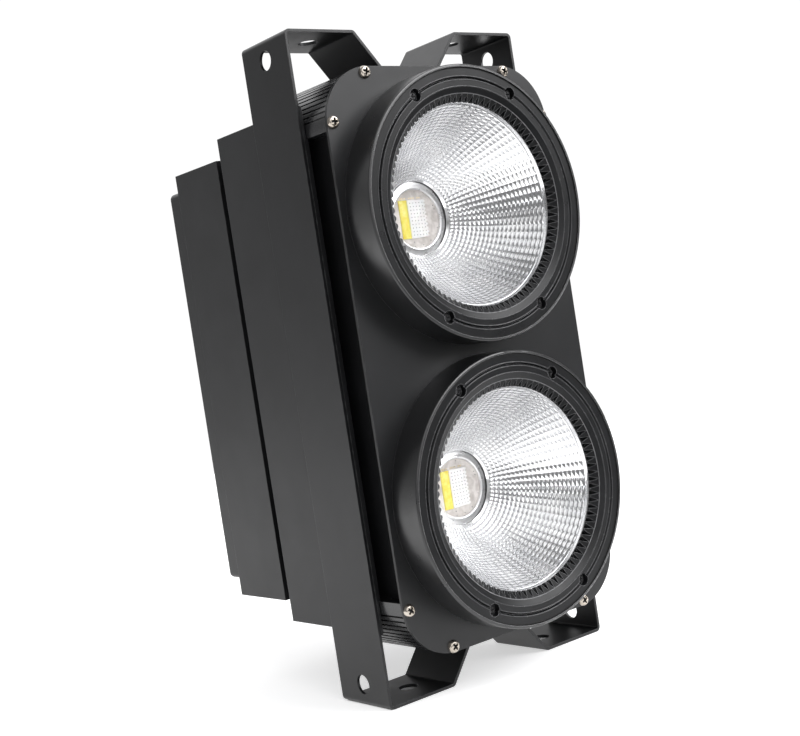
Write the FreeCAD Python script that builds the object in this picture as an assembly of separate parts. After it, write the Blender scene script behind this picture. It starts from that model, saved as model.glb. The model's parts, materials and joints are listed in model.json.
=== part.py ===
import FreeCAD, Part
import math
import os

# Audience blinder light: two round lamps, one above the other, in a flat black case that
# is held between two bent side brackets. All sizes are in millimetres.
# The lamps look along -Y, +X is to the right and +Z is up. The light stands on z = 0 on the
# lower flanges of its brackets and is centred in X and Y.
# Pieces are drawn round the middle of the front plate's front face, with depth measured
# back from that face, and are moved to their place when they are written.

# Fits and shared sizes
overrun = 1.0
same_place = 0.001
fit_clearance = 0.3
screw_clearance = 0.1
housing_sheet = 1.5

# Front plate, which leaves a margin round the two lamps, and the case that steps down behind it
plate_margin = 4.5
lamp_gap = 7.0
plate_corner_radius = 38.0
plate_thickness = 2.0
housing_front_depth = 25.0
mid_housing_length = 103.0
mid_housing_overhang = 1.0
mid_housing_end_step = 19.0
hem_width = 8.0
neck_length = 13.0
neck_side_step = 9.5
neck_end_step = 17.5
neck_flange = 8.0
rear_housing_length = 60.0
rear_housing_overhang = 5.0
rear_flange_width = 13.0
rear_flange_height = 19.5

# Ribbed ends, side walls and the plate that closes the frame at the back
ribbed_end_length = 73.0
ribbed_end_inset = 0.8
ribbed_end_wall = 6.0
ribbed_end_tail = 2.0
ribbed_end_foot_thickness = 3.0
groove_count = 12
groove_first_deg = 11.0
groove_step_deg = 5.5
groove_width = 1.2
groove_depth = 1.2
screw_boss_radius = 4.4
side_wall_inset = 10.5
side_wall_sheet = 1.5
chassis_thickness = 2.0
chassis_opening_gap = 2.0

# Pan head screws of the front plate and of the frame's back
plate_screw_reach = 35.0
plate_screw_end_inset = 4.0
plate_screw_side_inset = 4.5
plate_screw_head_radius = 4.2
plate_screw_head_height = 2.8
plate_screw_radius = 2.0
plate_screw_length = 14.0
chassis_screw_head_radius = 3.5
recess_width_share = 0.22
recess_length_share = 1.15
recess_depth_share = 0.6

# Side brackets, each one bent strip of sheet
bracket_reach = 30.0
bracket_width = 52.0
bracket_sheet = 2.0
bracket_setback = 0.5
bracket_bend_radius = 3.5
foot_inner_x = 3.0
foot_length = 17.0
leg_run = 23.0
mount_hole_radius = 6.5
side_hole_end_distance = 13.8
flange_hole_step = 19.0
foot_screw_step = 7.0
foot_screw_spacing = 28.0
foot_screw_radius = 2.5
foot_screw_head_radius = 4.4
foot_screw_head_height = 2.6
foot_screw_length = 9.0

# Lamp barrel
barrel_radius = 90.0
barrel_height = 24.5
lip_wall = 2.0
lip_rounding = 1.2
shelf_depth = 7.0
seat_step = 14.0
seat_depth = 9.2
ledge_width = 4.0
ledge_thickness = 6.1
tube_step = 10.0
tube_wall = 5.0
tube_end_depth = 46.0
barrel_screw_inset = 5.0
barrel_screw_deg = 30.0
barrel_screw_radius = 2.0
barrel_screw_head_radius = 3.5
barrel_screw_head_height = 2.2
barrel_screw_length = 9.0

# Bezel and serrated ring
bezel_recess = 1.0
bezel_mouth_land = 0.5
bezel_cone_run = 4.0
bezel_nose_thickness = 1.7
bezel_groove_inset = 9.0
bezel_groove_width = 2.4
bezel_groove_depth = 1.5
bezel_screw_first_deg = 60.0
bezel_screw_second_deg = 120.0
bezel_counterbore_radius = 4.2
bezel_counterbore_depth = 4.6
bezel_screw_radius = 1.75
bezel_screw_head_radius = 3.0
bezel_screw_head_height = 1.8
bezel_screw_length = 10.0
tooth_count = 90
tooth_reach = 4.7
tooth_flat_share = 0.3
tooth_lead_depth = 3.8

# Reflector, lamp board and heatsink
reflector_throat_radius = 25.5
reflector_sheet = 1.2
reflector_curve_count = 8
collar_cover = 4.5
collar_lip = 5.5
collar_thickness = 2.0
board_size = 52.0
board_thickness = 2.0
emitter_thickness = 0.8
emitter_height = 26.4
warm_emitter_width = 7.2
white_emitter_width = 15.4
emitter_gap = 0.4
emitter_shift = 2.0
heatsink_base_thickness = 8.0
heatsink_fin_inset = 3.0
heatsink_fin_length = 52.5
heatsink_fin_thickness = 2.5
heatsink_fin_end_gap = 6.0
heatsink_fin_count = 13
heatsink_screw_radius = 1.5
heatsink_screw_head_radius = 2.6
heatsink_screw_head_height = 1.8
heatsink_screw_length = 16.0
heatsink_screw_deg = 45.0

# Inner tray with the power supply and the driver board, which fit inside the neck's opening
tray_window_gap = 1.0
tray_window_height = 34.0
tray_window_centre = 62.0
tray_stud_radius = 3.0
tray_stud_length = 8.0
supply_width = 98.0
supply_height = 110.0
supply_length = 36.0
supply_sheet = 1.5
supply_end_gap = 26.5
supply_floor_gap = 4.0
supply_coil_width = 30.0
supply_coil_height = 34.0
supply_coil_length = 24.0
supply_capacitor_radius = 9.0
supply_capacitor_length = 25.0
supply_capacitor_pitch = 24.0
driver_width = 110.0
driver_thickness = 1.6
driver_end_gap = 27.5
driver_supply_gap = 23.0
driver_stud_inset = 6.0
choke_radius = 9.0
choke_height = 12.0
choke_pitch = 30.0
choke_count = 3

# Screws of the housing
housing_screw_radius = 1.5
housing_screw_head_radius = 2.6
housing_screw_head_height = 1.8
housing_screw_length = 5.0
housing_screw_inset = 4.9
housing_screw_side_pitch = 70.0
housing_screw_end_pitch = 50.0

# Rear cover
cover_length = 22.5
cover_side_step = 4.0
cover_end_step = 10.5
cover_rounding = 4.0
cover_stud_inset = 4.7
cover_stud_end_gap = 20.0
cover_stud_count = 5
cover_stud_radius = 3.0
dimple_radius = 4.0
dimple_depth = 2.0
cover_screw_radius = 1.5
cover_screw_head_radius = 3.0
cover_screw_head_height = 1.6
cover_screw_length = 9.0

# Fans, which share the height that the rest of the cover's back leaves free
fan_length = 25.0
fan_wall = 2.0
fan_top_gap = 14.0
fan_gap = 6.0
fan_base_radius = 17.0
fan_base_thickness = 3.0
fan_spoke_width = 5.0
fan_spoke_count = 4
fan_hole_inset = 4.25
fan_hole_radius = 2.2
fan_hub_radius = 16.0
fan_tip_gap = 1.5
fan_blade_thickness = 1.4
fan_blade_chord = 22.6
fan_blade_pitch_deg = 38.0
fan_blade_count = 7
fan_rotor_length = 18.0
fan_axle_radius = 2.0
fan_bearing_clearance = 0.05
fan_screw_radius = 1.9
fan_screw_head_radius = 3.4
fan_screw_head_height = 1.8
fan_screw_length = 11.0
vent_inset = 3.0
vent_end_gap = 7.0
vent_slot_count = 8
vent_open_share = 0.5

# Display, buttons and their board
control_gap = 9.0
window_x = -30.0
window_width = 46.0
window_height = 18.0
window_flange = 2.0
window_flange_thickness = 1.0
display_thickness = 8.0
control_board_width = 132.0
control_board_height = 34.0
control_board_thickness = 1.6
control_stud_length = 10.0
control_stud_radius = 2.5
control_stud_inset = 4.0
button_first_x = 14.0
button_pitch = 14.0
button_radius = 3.5
button_stand = 1.6
button_skirt_radius = 4.5
button_skirt_thickness = 1.0
button_skirt_gap = 0.1
button_stem_radius = 1.8
button_travel = 0.8
button_stop_gap = 0.2
switch_size = 6.0
switch_height = 3.5

# Data and power sockets
socket_count = 4
socket_side_gap = 14.0
socket_bottom_gap = 24.5
socket_top_gap = 13.5
socket_flange_width = 26.0
socket_flange_height = 31.0
socket_flange_corner = 3.0
socket_flange_thickness = 2.0
socket_body_radius = 11.8
socket_body_length = 27.0
socket_screw_x = 9.5
socket_screw_z = 12.0
socket_screw_radius = 1.4
socket_screw_head_radius = 2.5
socket_screw_head_height = 1.3
socket_screw_length = 6.0
pin_circle_radius = 3.6
pin_count = 3
data_cavity_radius = 8.8
data_cavity_depth = 15.0
data_pin_radius = 1.2
data_pin_length = 9.0
data_face_radius = 7.3
data_face_recess = 1.5
data_hole_radius = 1.3
data_hole_depth = 9.0
latch_width = 7.0
latch_height = 2.4
latch_offset = 8.3
latch_stand = 2.0
latch_length = 12.0
latch_travel = 1.5
power_rim_radius = 11.4
power_rim_height = 5.0
power_cavity_radius = 9.5
power_cavity_depth = 17.0
power_post_radius = 4.6
power_post_length = 10.0
power_key_width = 3.0

# Sizes and places that follow from the sizes above
lamp_height = barrel_radius + lamp_gap / 2
lamp_heights = (lamp_height, -lamp_height)
plate_half_width = barrel_radius + plate_margin
plate_half_height = lamp_height + plate_half_width
ribbed_end_foot_height = plate_half_height - plate_corner_radius - ribbed_end_tail
side_wall_half_width = plate_half_width - side_wall_inset
mid_half_width = plate_half_width + mid_housing_overhang
mid_half_height = plate_half_height - mid_housing_end_step
neck_half_width = mid_half_width - neck_side_step
neck_half_height = mid_half_height - neck_end_step
neck_opening_half_height = neck_half_height - neck_flange
rear_half_width = neck_half_width + rear_housing_overhang
rear_half_height = neck_half_height + rear_housing_overhang
cover_half_width = rear_half_width - cover_side_step
cover_half_height = rear_half_height - cover_end_step
chassis_depth = plate_thickness + ribbed_end_length
chassis_back_depth = chassis_depth + chassis_thickness
neck_depth = housing_front_depth + mid_housing_length
rear_housing_depth = neck_depth + neck_length
cover_depth = rear_housing_depth + rear_housing_length
cover_back_depth = cover_depth + cover_length
cover_inner_depth = cover_back_depth - housing_sheet
bracket_depth = housing_front_depth + bracket_setback
bracket_middle_depth = bracket_depth + bracket_width / 2
bracket_half_height = plate_half_height + bracket_reach
bracket_height = 2 * bracket_half_height
bracket_outer_x = mid_half_width + bracket_sheet
foot_outer_x = foot_inner_x + foot_length
foot_screw_x = foot_inner_x + foot_screw_step
flange_end_x = foot_outer_x + leg_run
flange_hole_x = flange_end_x + flange_hole_step
lip_inner_radius = barrel_radius - lip_wall
barrel_screw_circle = barrel_radius - barrel_screw_inset
tube_outer_radius = barrel_radius - tube_step
tube_inner_radius = tube_outer_radius - tube_wall
seat_radius = barrel_radius - seat_step
ledge_radius = seat_radius - ledge_width
bezel_outer_radius = lip_inner_radius - fit_clearance
bezel_groove_radius = barrel_radius - bezel_groove_inset
bezel_mouth_radius = seat_radius - fit_clearance - bezel_mouth_land
bezel_throat_radius = bezel_mouth_radius - bezel_cone_run
tooth_tip_radius = bezel_throat_radius - tooth_reach
reflector_mouth_radius = tooth_tip_radius
reflector_throat_depth = tube_end_depth - board_thickness - collar_thickness
collar_outer_radius = reflector_throat_radius + collar_cover
collar_inner_radius = reflector_throat_radius - collar_lip
heatsink_depth = tube_end_depth
heatsink_fin_radius = tube_inner_radius - heatsink_fin_inset
fin_depth = heatsink_depth + heatsink_base_thickness
tray_depth = fin_depth + heatsink_fin_length
tray_back_depth = tray_depth + housing_sheet
supply_centre_z = supply_end_gap + supply_height / 2 - neck_opening_half_height
supply_top_z = supply_centre_z + supply_height / 2
driver_top_z = neck_opening_half_height - driver_end_gap
driver_height = driver_top_z - supply_top_z - driver_supply_gap
driver_centre_z = driver_top_z - driver_height / 2
driver_stud_x = driver_width / 2 - driver_stud_inset
fan_depth = cover_inner_depth - fan_length
control_board_depth = cover_inner_depth - control_stud_length
overall_depth = barrel_height + cover_back_depth + power_rim_height
plate_front_y = barrel_height - overall_depth / 2
plate_screw_corner = (
    (plate_half_width - plate_screw_reach, plate_half_height - plate_screw_end_inset),
    (plate_half_width - plate_screw_side_inset, plate_half_height - plate_screw_reach),
)
plate_screw_places = [
    (side_x * x, side_z * z)
    for x, z in plate_screw_corner
    for side_x in (1, -1)
    for side_z in (1, -1)
]
barrel_screw_angles = (
    barrel_screw_deg,
    180 - barrel_screw_deg,
    180 + barrel_screw_deg,
    -barrel_screw_deg,
)
bezel_screw_angles = (
    bezel_screw_first_deg,
    bezel_screw_second_deg,
    -bezel_screw_first_deg,
    -bezel_screw_second_deg,
)
heatsink_screw_angles = [heatsink_screw_deg + 90 * turn for turn in range(4)]
heatsink_screw_circle = (tube_outer_radius + tube_inner_radius) / 2
cover_stud_x = cover_half_width - cover_stud_inset
cover_stud_pitch = 2 * (cover_half_height - cover_stud_end_gap) / (cover_stud_count - 1)
cover_stud_heights = [
    cover_stud_pitch * (row - (cover_stud_count - 1) / 2) for row in range(cover_stud_count)
]
fan_stack_height = (
    2 * cover_half_height - fan_top_gap - fan_gap - control_gap - control_board_height
    - socket_top_gap - socket_flange_height - socket_bottom_gap
)
fan_size = fan_stack_height / 2
fan_upper_z = cover_half_height - fan_top_gap - fan_size / 2
fan_lower_z = fan_upper_z - fan_size - fan_gap
fan_bore_radius = fan_size / 2 - fan_wall
fan_blade_radius = fan_bore_radius - fan_tip_gap
fan_hole_offset = fan_size / 2 - fan_hole_inset
vent_radius = fan_bore_radius - vent_inset
vent_slot_pitch = 2 * (vent_radius - vent_end_gap) / (vent_slot_count - 1)
vent_slot_height = vent_slot_pitch * vent_open_share
control_z = fan_lower_z - (fan_size + control_board_height) / 2 - control_gap
button_names = ("menu", "down", "up", "enter")
button_places = [button_first_x + button_pitch * place for place in range(len(button_names))]
socket_row_z = socket_bottom_gap + socket_flange_height / 2 - cover_half_height
socket_half_row = cover_half_width - socket_side_gap - socket_flange_width / 2
socket_pitch = 2 * socket_half_row / (socket_count - 1)
socket_places = [socket_pitch * place - socket_half_row for place in range(socket_count)]


# Shapes that the pieces are made of


def vector(x, y, z):
    return FreeCAD.Vector(x, y, z)


def box(x0, x1, y0, y1, z0, z1):
    return Part.makeBox(x1 - x0, y1 - y0, z1 - z0, vector(x0, y0, z0))


def centred_box(half_x, y0, y1, half_z, x=0, z=0):
    return box(x - half_x, x + half_x, y0, y1, z - half_z, z + half_z)


def rod(radius, y0, y1, x=0, z=0):
    return Part.makeCylinder(radius, y1 - y0, vector(x, y0, z), vector(0, 1, 0))


def cone(radius0, radius1, y0, y1, x=0, z=0):
    return Part.makeCone(radius0, radius1, y1 - y0, vector(x, y0, z), vector(0, 1, 0))


def runs_back(edge):
    return abs(edge.tangentAt(edge.FirstParameter).y) > 0.99


def rounded_block(half_x, half_z, radius, y0, y1, x=0, z=0):
    """A block along the depth whose four long edges are rounded."""
    block = centred_box(half_x, y0, y1, half_z, x, z)
    return block.makeFillet(radius, [edge for edge in block.Edges if runs_back(edge)])


def square_ring(outer_x, outer_z, inner_x, inner_z, y0, y1):
    """A flat rectangular frame."""
    opening = centred_box(inner_x, y0 - overrun, y1 + overrun, inner_z)
    return centred_box(outer_x, y0, y1, outer_z).cut(opening)


def turned(points, z=0):
    """A closed outline of radius and depth, turned round the lamp's axis."""
    corners = [vector(radius, depth, 0) for radius, depth in points]
    outline = Part.makePolygon(corners + corners[:1])
    solid = Part.Face(outline).revolve(vector(0, 0, 0), vector(0, 1, 0), 360)
    return solid.translated(vector(0, 0, z))


def on_circle(radius, angle, z=0):
    return (
        radius * math.cos(math.radians(angle)),
        z + radius * math.sin(math.radians(angle)),
    )


def joined(shapes):
    """One solid made of shapes that touch or cross."""
    return shapes[0].multiFuse(shapes[1:]).removeSplitter()


def without(shape, cuts):
    return shape.cut(Part.makeCompound(cuts))


def circle_edges(shape, radius, depth):
    """The round edges of one radius at one depth."""
    return [
        edge
        for edge in shape.Edges
        if isinstance(edge.Curve, Part.Circle)
        and math.isclose(edge.Curve.Radius, radius)
        and abs(edge.Curve.Center.y - depth) < same_place
    ]


def screw(head_radius, head_height, shank_radius, shank_length):
    """A cross-head screw along the depth: its head's seat is at 0 and its shank runs back."""
    head = rod(head_radius, -head_height, 0)
    head = head.makeChamfer(head_height / 2, circle_edges(head, head_radius, -head_height))
    half_slot = head_radius * recess_width_share / 2
    half_length = head_radius * recess_length_share / 2
    slot_end = head_height * recess_depth_share - head_height
    cross = joined([
        centred_box(half_slot, -head_height - overrun, slot_end, half_length),
        centred_box(half_length, -head_height - overrun, slot_end, half_slot),
    ])
    return head.fuse(rod(shank_radius, 0, shank_length)).cut(cross)


def facing_front(shape):
    """The same screw, put in from behind."""
    turned_round = shape.copy()
    turned_round.rotate(vector(0, 0, 0), vector(0, 0, 1), 180)
    return turned_round


def copies(shape, places, depth):
    return [shape.translated(vector(x, depth, z)) for x, z in places]


def write(name, shape):
    """One piece, moved to its place, in a file of its own."""
    place = vector(0, plate_front_y, bracket_half_height)
    solids = [solid.translated(place) for solid in shape.Solids]
    moved = solids[0] if len(solids) == 1 else Part.makeCompound(solids)
    moved.exportStep(os.path.join("parts", name + ".step"))
    report = (name, len(solids), moved.isValid(), round(moved.Volume))
    print(*report)


# Front plate and frame


def front_plate():
    plate = rounded_block(
        plate_half_width, plate_half_height, plate_corner_radius, 0, plate_thickness
    )
    ends = (-overrun, plate_thickness + overrun)
    holes = [rod(tube_outer_radius + fit_clearance, *ends, z=z) for z in lamp_heights]
    hole_radius = plate_screw_radius + screw_clearance
    holes += [rod(hole_radius, *ends, x=x, z=z) for x, z in plate_screw_places]
    hole_radius = barrel_screw_radius + screw_clearance
    for z in lamp_heights:
        for angle in barrel_screw_angles:
            x, hole_z = on_circle(barrel_screw_circle, angle, z)
            holes.append(rod(hole_radius, *ends, x=x, z=hole_z))
    return without(plate, holes)


def plate_screws():
    one = screw(
        plate_screw_head_radius, plate_screw_head_height, plate_screw_radius, plate_screw_length
    )
    return Part.makeCompound(copies(one, plate_screw_places, 0))


def chassis_screws():
    one = facing_front(screw(
        chassis_screw_head_radius, plate_screw_head_height, plate_screw_radius,
        plate_screw_length,
    ))
    return Part.makeCompound(copies(one, plate_screw_places, chassis_back_depth))


def corner_grooves(centre_x, centre_z, radius):
    """Fine grooves round one corner of a ribbed end, from front to back."""
    grooves = []
    for number in range(groove_count):
        groove = box(
            radius - groove_depth, radius + overrun, plate_thickness - overrun,
            chassis_depth + overrun, -groove_width / 2, groove_width / 2,
        )
        angle = groove_first_deg + groove_step_deg * number
        groove.rotate(vector(0, 0, 0), vector(0, 1, 0), -angle)
        groove.translate(vector(centre_x, 0, centre_z))
        grooves.append(groove)
    return grooves


def ribbed_end_top():
    """An arch-shaped extrusion that follows the plate's corners, ribbed round them."""
    half_width = plate_half_width - ribbed_end_inset
    half_height = plate_half_height - ribbed_end_inset
    radius = plate_corner_radius - ribbed_end_inset
    ends = (plate_thickness, chassis_depth)
    outer = rounded_block(half_width, half_height, radius, *ends)
    inner = rounded_block(
        half_width - ribbed_end_wall, half_height - ribbed_end_wall,
        radius - ribbed_end_wall, ends[0] - overrun, ends[1] + overrun,
    )
    foot_reach = side_wall_half_width - side_wall_sheet
    foot = box(
        foot_reach, half_width - ribbed_end_wall / 2, *ends,
        ribbed_end_foot_height, ribbed_end_foot_height + ribbed_end_foot_thickness,
    )
    bosses = [
        rod(screw_boss_radius, *ends, x=x, z=z).common(outer)
        for x, z in plate_screw_places
        if z > 0
    ]
    arch = joined([outer.cut(inner), foot, mirrored_x(foot)] + bosses)
    lower_part = centred_box(
        plate_half_width + overrun, ends[0] - overrun, ends[1] + overrun,
        (plate_half_height + overrun + ribbed_end_foot_height) / 2,
        z=-(plate_half_height + overrun - ribbed_end_foot_height) / 2,
    )
    cuts = [lower_part]
    corner_x = half_width - radius
    right_grooves = corner_grooves(corner_x, half_height - radius, radius)
    cuts += right_grooves + [mirrored_x(groove) for groove in right_grooves]
    hole_radius = plate_screw_radius + screw_clearance
    cuts += [
        rod(hole_radius, ends[0] - overrun, ends[1] + overrun, x=x, z=z)
        for x, z in plate_screw_places
        if z > 0
    ]
    hole_radius = foot_screw_radius + screw_clearance
    for x, depth in foot_screw_places():
        cuts.append(Part.makeCylinder(
            hole_radius, ribbed_end_wall + 2 * overrun,
            vector(x, depth, half_height - ribbed_end_wall - overrun), vector(0, 0, 1),
        ))
    return without(arch, cuts)


def mirrored_x(shape):
    return shape.mirror(vector(0, 0, 0), vector(1, 0, 0))


def mirrored_z(shape):
    return shape.mirror(vector(0, 0, 0), vector(0, 0, 1))


def right_side_wall():
    return box(
        side_wall_half_width - side_wall_sheet, side_wall_half_width, plate_thickness,
        chassis_depth, -ribbed_end_foot_height, ribbed_end_foot_height,
    )


def chassis_plate():
    """The sheet that closes the frame at the back and carries the housing."""
    inner_half_width = mid_half_width - housing_sheet
    plate = rounded_block(
        inner_half_width, plate_half_height - ribbed_end_inset, plate_corner_radius - ribbed_end_inset,
        chassis_depth, chassis_back_depth,
    )
    ends = (chassis_depth - overrun, chassis_back_depth + overrun)
    holes = [
        rod(heatsink_fin_radius + chassis_opening_gap, *ends, z=z) for z in lamp_heights
    ]
    hole_radius = plate_screw_radius + screw_clearance
    holes += [rod(hole_radius, *ends, x=x, z=z) for x, z in plate_screw_places]
    return without(plate, holes)


# Side brackets


def foot_screw_places():
    half_spacing = foot_screw_spacing / 2
    return [
        (side * foot_screw_x, bracket_middle_depth + step * half_spacing)
        for side in (1, -1)
        for step in (1, -1)
    ]


def sheet_outline(path, sheet):
    """The closed outline of a bent sheet: an outer path and the same path one sheet inside."""
    inside = []
    count = len(path)
    for number, (x, z) in enumerate(path):
        normals = []
        for first, second in ((number - 1, number), (number, number + 1)):
            if first < 0 or second >= count:
                continue
            run_x = path[second][0] - path[first][0]
            run_z = path[second][1] - path[first][1]
            length = math.hypot(run_x, run_z)
            normals.append((-run_z / length, run_x / length))
        mean_x = sum(normal[0] for normal in normals) / len(normals)
        mean_z = sum(normal[1] for normal in normals) / len(normals)
        size = mean_x * mean_x + mean_z * mean_z
        inside.append((x + sheet * mean_x / size, z + sheet * mean_z / size))
    return path + inside[::-1]


def edges_at(shape, corners):
    """The edges that run back from some corners of an outline."""
    return [
        edge
        for edge in shape.Edges
        for x, z in corners
        if runs_back(edge)
        and abs(edge.CenterOfMass.x - x) < same_place
        and abs(edge.CenterOfMass.z - z) < same_place
    ]


def right_bracket():
    """One strip bent into a flange, a slanted leg and a foot at each end."""
    foot_z = plate_half_height - ribbed_end_inset + bracket_sheet
    upper_path = [
        (bracket_outer_x, 0),
        (bracket_outer_x, bracket_half_height),
        (flange_end_x, bracket_half_height),
        (foot_outer_x, foot_z),
        (foot_inner_x, foot_z),
    ]
    outline = sheet_outline(upper_path, bracket_sheet)
    corners = [vector(x, bracket_depth, z) for x, z in outline]
    face = Part.Face(Part.makePolygon(corners + corners[:1]))
    half = face.extrude(vector(0, bracket_width, 0))
    strip_outer, flange_outer, leg_outer = outline[1:4]
    leg_inner, flange_inner, strip_inner = outline[-4:-1]
    wide_bends = (strip_outer, flange_outer, leg_inner)
    tight_bends = (strip_inner, flange_inner, leg_outer)
    half = half.makeFillet(bracket_bend_radius, edges_at(half, wide_bends))
    tight_radius = bracket_bend_radius - bracket_sheet
    half = half.makeFillet(tight_radius, edges_at(half, tight_bends))
    whole = joined([half, mirrored_z(half)])
    holes = []
    side_hole_z = bracket_half_height - side_hole_end_distance
    for side in (1, -1):
        holes.append(Part.makeCylinder(
            mount_hole_radius, bracket_sheet + 2 * overrun,
            vector(mid_half_width - overrun, bracket_middle_depth, side * side_hole_z),
            vector(1, 0, 0),
        ))
    holes.append(Part.makeCylinder(
        mount_hole_radius, bracket_height + 2 * overrun,
        vector(flange_hole_x, bracket_middle_depth, -bracket_half_height - overrun),
        vector(0, 0, 1),
    ))
    for x, depth in foot_screw_places():
        if x > 0:
            holes.append(Part.makeCylinder(
                foot_screw_radius + screw_clearance, bracket_height,
                vector(x, depth, -bracket_half_height), vector(0, 0, 1),
            ))
    return without(whole, holes)


def bracket_screws():
    one = screw(
        foot_screw_head_radius, foot_screw_head_height, foot_screw_radius, foot_screw_length
    )
    one.rotate(vector(0, 0, 0), vector(1, 0, 0), -90)
    seat_z = plate_half_height - ribbed_end_inset + bracket_sheet
    upper = [one.translated(vector(x, depth, seat_z)) for x, depth in foot_screw_places()]
    return Part.makeCompound(upper + [mirrored_z(item) for item in upper])


# Housing


def mid_housing():
    inner_width = mid_half_width - housing_sheet
    inner_height = mid_half_height - housing_sheet
    back_wall_depth = neck_depth - housing_sheet
    side = box(
        inner_width, mid_half_width, housing_front_depth, neck_depth,
        -mid_half_height, mid_half_height,
    )
    hem = box(
        inner_width - housing_sheet, inner_width, housing_front_depth,
        housing_front_depth + hem_width, -ribbed_end_foot_height, ribbed_end_foot_height,
    )
    top = box(
        -mid_half_width, mid_half_width, chassis_back_depth, neck_depth,
        inner_height, mid_half_height,
    )
    back_wall = square_ring(
        mid_half_width, mid_half_height, neck_half_width - neck_flange,
        neck_opening_half_height, back_wall_depth, neck_depth,
    )
    shell = joined([side, mirrored_x(side), hem, mirrored_x(hem), top, mirrored_z(top), back_wall])
    hole_radius = housing_screw_radius + screw_clearance
    holes = [
        rod(hole_radius, back_wall_depth - overrun, neck_depth + overrun, x=x, z=z)
        for x, z in housing_screw_places()
    ]
    return without(shell, holes)


def housing_screw_places():
    """Twelve screws round the neck's flange."""
    side_x = neck_half_width - housing_screw_inset
    end_z = neck_half_height - housing_screw_inset
    places = []
    for side in (1, -1):
        for step in (-1, 0, 1):
            places.append((side * side_x, step * housing_screw_side_pitch))
            places.append((step * housing_screw_end_pitch, side * end_z))
    return places


def housing_screws():
    one = facing_front(screw(
        housing_screw_head_radius, housing_screw_head_height, housing_screw_radius,
        housing_screw_length,
    ))
    seat_depth_here = neck_depth + housing_sheet
    return Part.makeCompound(copies(one, housing_screw_places(), seat_depth_here))


def rear_housing():
    """A hood on a narrower neck, with studs on its rear flange for the cover."""
    neck_inner_x = neck_half_width - housing_sheet
    neck_inner_z = neck_half_height - housing_sheet
    front_wall_back = rear_housing_depth + housing_sheet
    flange_depth = cover_depth - housing_sheet
    pieces = [
        square_ring(
            neck_half_width, neck_half_height, neck_half_width - neck_flange,
            neck_opening_half_height, neck_depth, neck_depth + housing_sheet,
        ),
        square_ring(
            neck_half_width, neck_half_height, neck_inner_x, neck_inner_z, neck_depth,
            front_wall_back,
        ),
        square_ring(
            rear_half_width, rear_half_height, neck_inner_x, neck_inner_z,
            rear_housing_depth, front_wall_back,
        ),
        square_ring(
            rear_half_width, rear_half_height, rear_half_width - housing_sheet,
            rear_half_height - housing_sheet, rear_housing_depth, cover_depth,
        ),
        square_ring(
            rear_half_width, rear_half_height, rear_half_width - rear_flange_width,
            rear_half_height - rear_flange_height, flange_depth, cover_depth,
        ),
    ]
    stud_end = cover_inner_depth - dimple_depth
    stud_bores = []
    for side in (1, -1):
        for z in cover_stud_heights:
            x = side * cover_stud_x
            pieces.append(rod(cover_stud_radius, flange_depth, stud_end, x=x, z=z))
            bore_start = stud_end - cover_screw_length
            stud_bores.append(rod(
                cover_screw_radius + screw_clearance, bore_start, stud_end + overrun, x=x, z=z
            ))
    hole_radius = housing_screw_radius + screw_clearance
    holes = [
        rod(hole_radius, neck_depth - overrun, neck_depth + housing_sheet + overrun, x=x, z=z)
        for x, z in housing_screw_places()
    ]
    return without(joined(pieces), stud_bores + holes)


# Lamps


def barrel(z):
    """A turned ring on the front plate with a tube that runs back to the heatsink."""
    front = -barrel_height
    shelf = front + shelf_depth
    ledge = front + seat_depth
    ledge_back = ledge + ledge_thickness
    body = turned([
        (lip_inner_radius, front),
        (barrel_radius, front),
        (barrel_radius, 0),
        (tube_outer_radius, 0),
        (tube_outer_radius, tube_end_depth),
        (tube_inner_radius, tube_end_depth),
        (tube_inner_radius, ledge_back),
        (ledge_radius, ledge_back),
        (ledge_radius, ledge),
        (seat_radius, ledge),
        (seat_radius, shelf),
        (lip_inner_radius, shelf),
    ])
    body = body.makeFillet(lip_rounding, circle_edges(body, barrel_radius, front))
    holes = []
    for angle in bezel_screw_angles:
        x, hole_z = on_circle(bezel_groove_radius, angle)
        end = bezel_screw_end() + fit_clearance
        hole = rod(bezel_screw_radius + screw_clearance, shelf - overrun, end, x=x, z=hole_z)
        holes.append(hole)
    for angle in barrel_screw_angles:
        x, hole_z = on_circle(barrel_screw_circle, angle)
        start = plate_thickness - barrel_screw_length - fit_clearance
        hole = rod(barrel_screw_radius + screw_clearance, start, overrun, x=x, z=hole_z)
        holes.append(hole)
    for angle in heatsink_screw_angles:
        x, hole_z = on_circle(heatsink_screw_circle, angle)
        start = fin_depth - heatsink_screw_length - fit_clearance
        hole_radius = heatsink_screw_radius + screw_clearance
        holes.append(rod(hole_radius, start, tube_end_depth + overrun, x=x, z=hole_z))
    return without(body, holes).translated(vector(0, 0, z))


def bezel_front():
    return bezel_recess - barrel_height


def bezel_screw_end():
    return bezel_front() + bezel_counterbore_depth + bezel_screw_length


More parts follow.
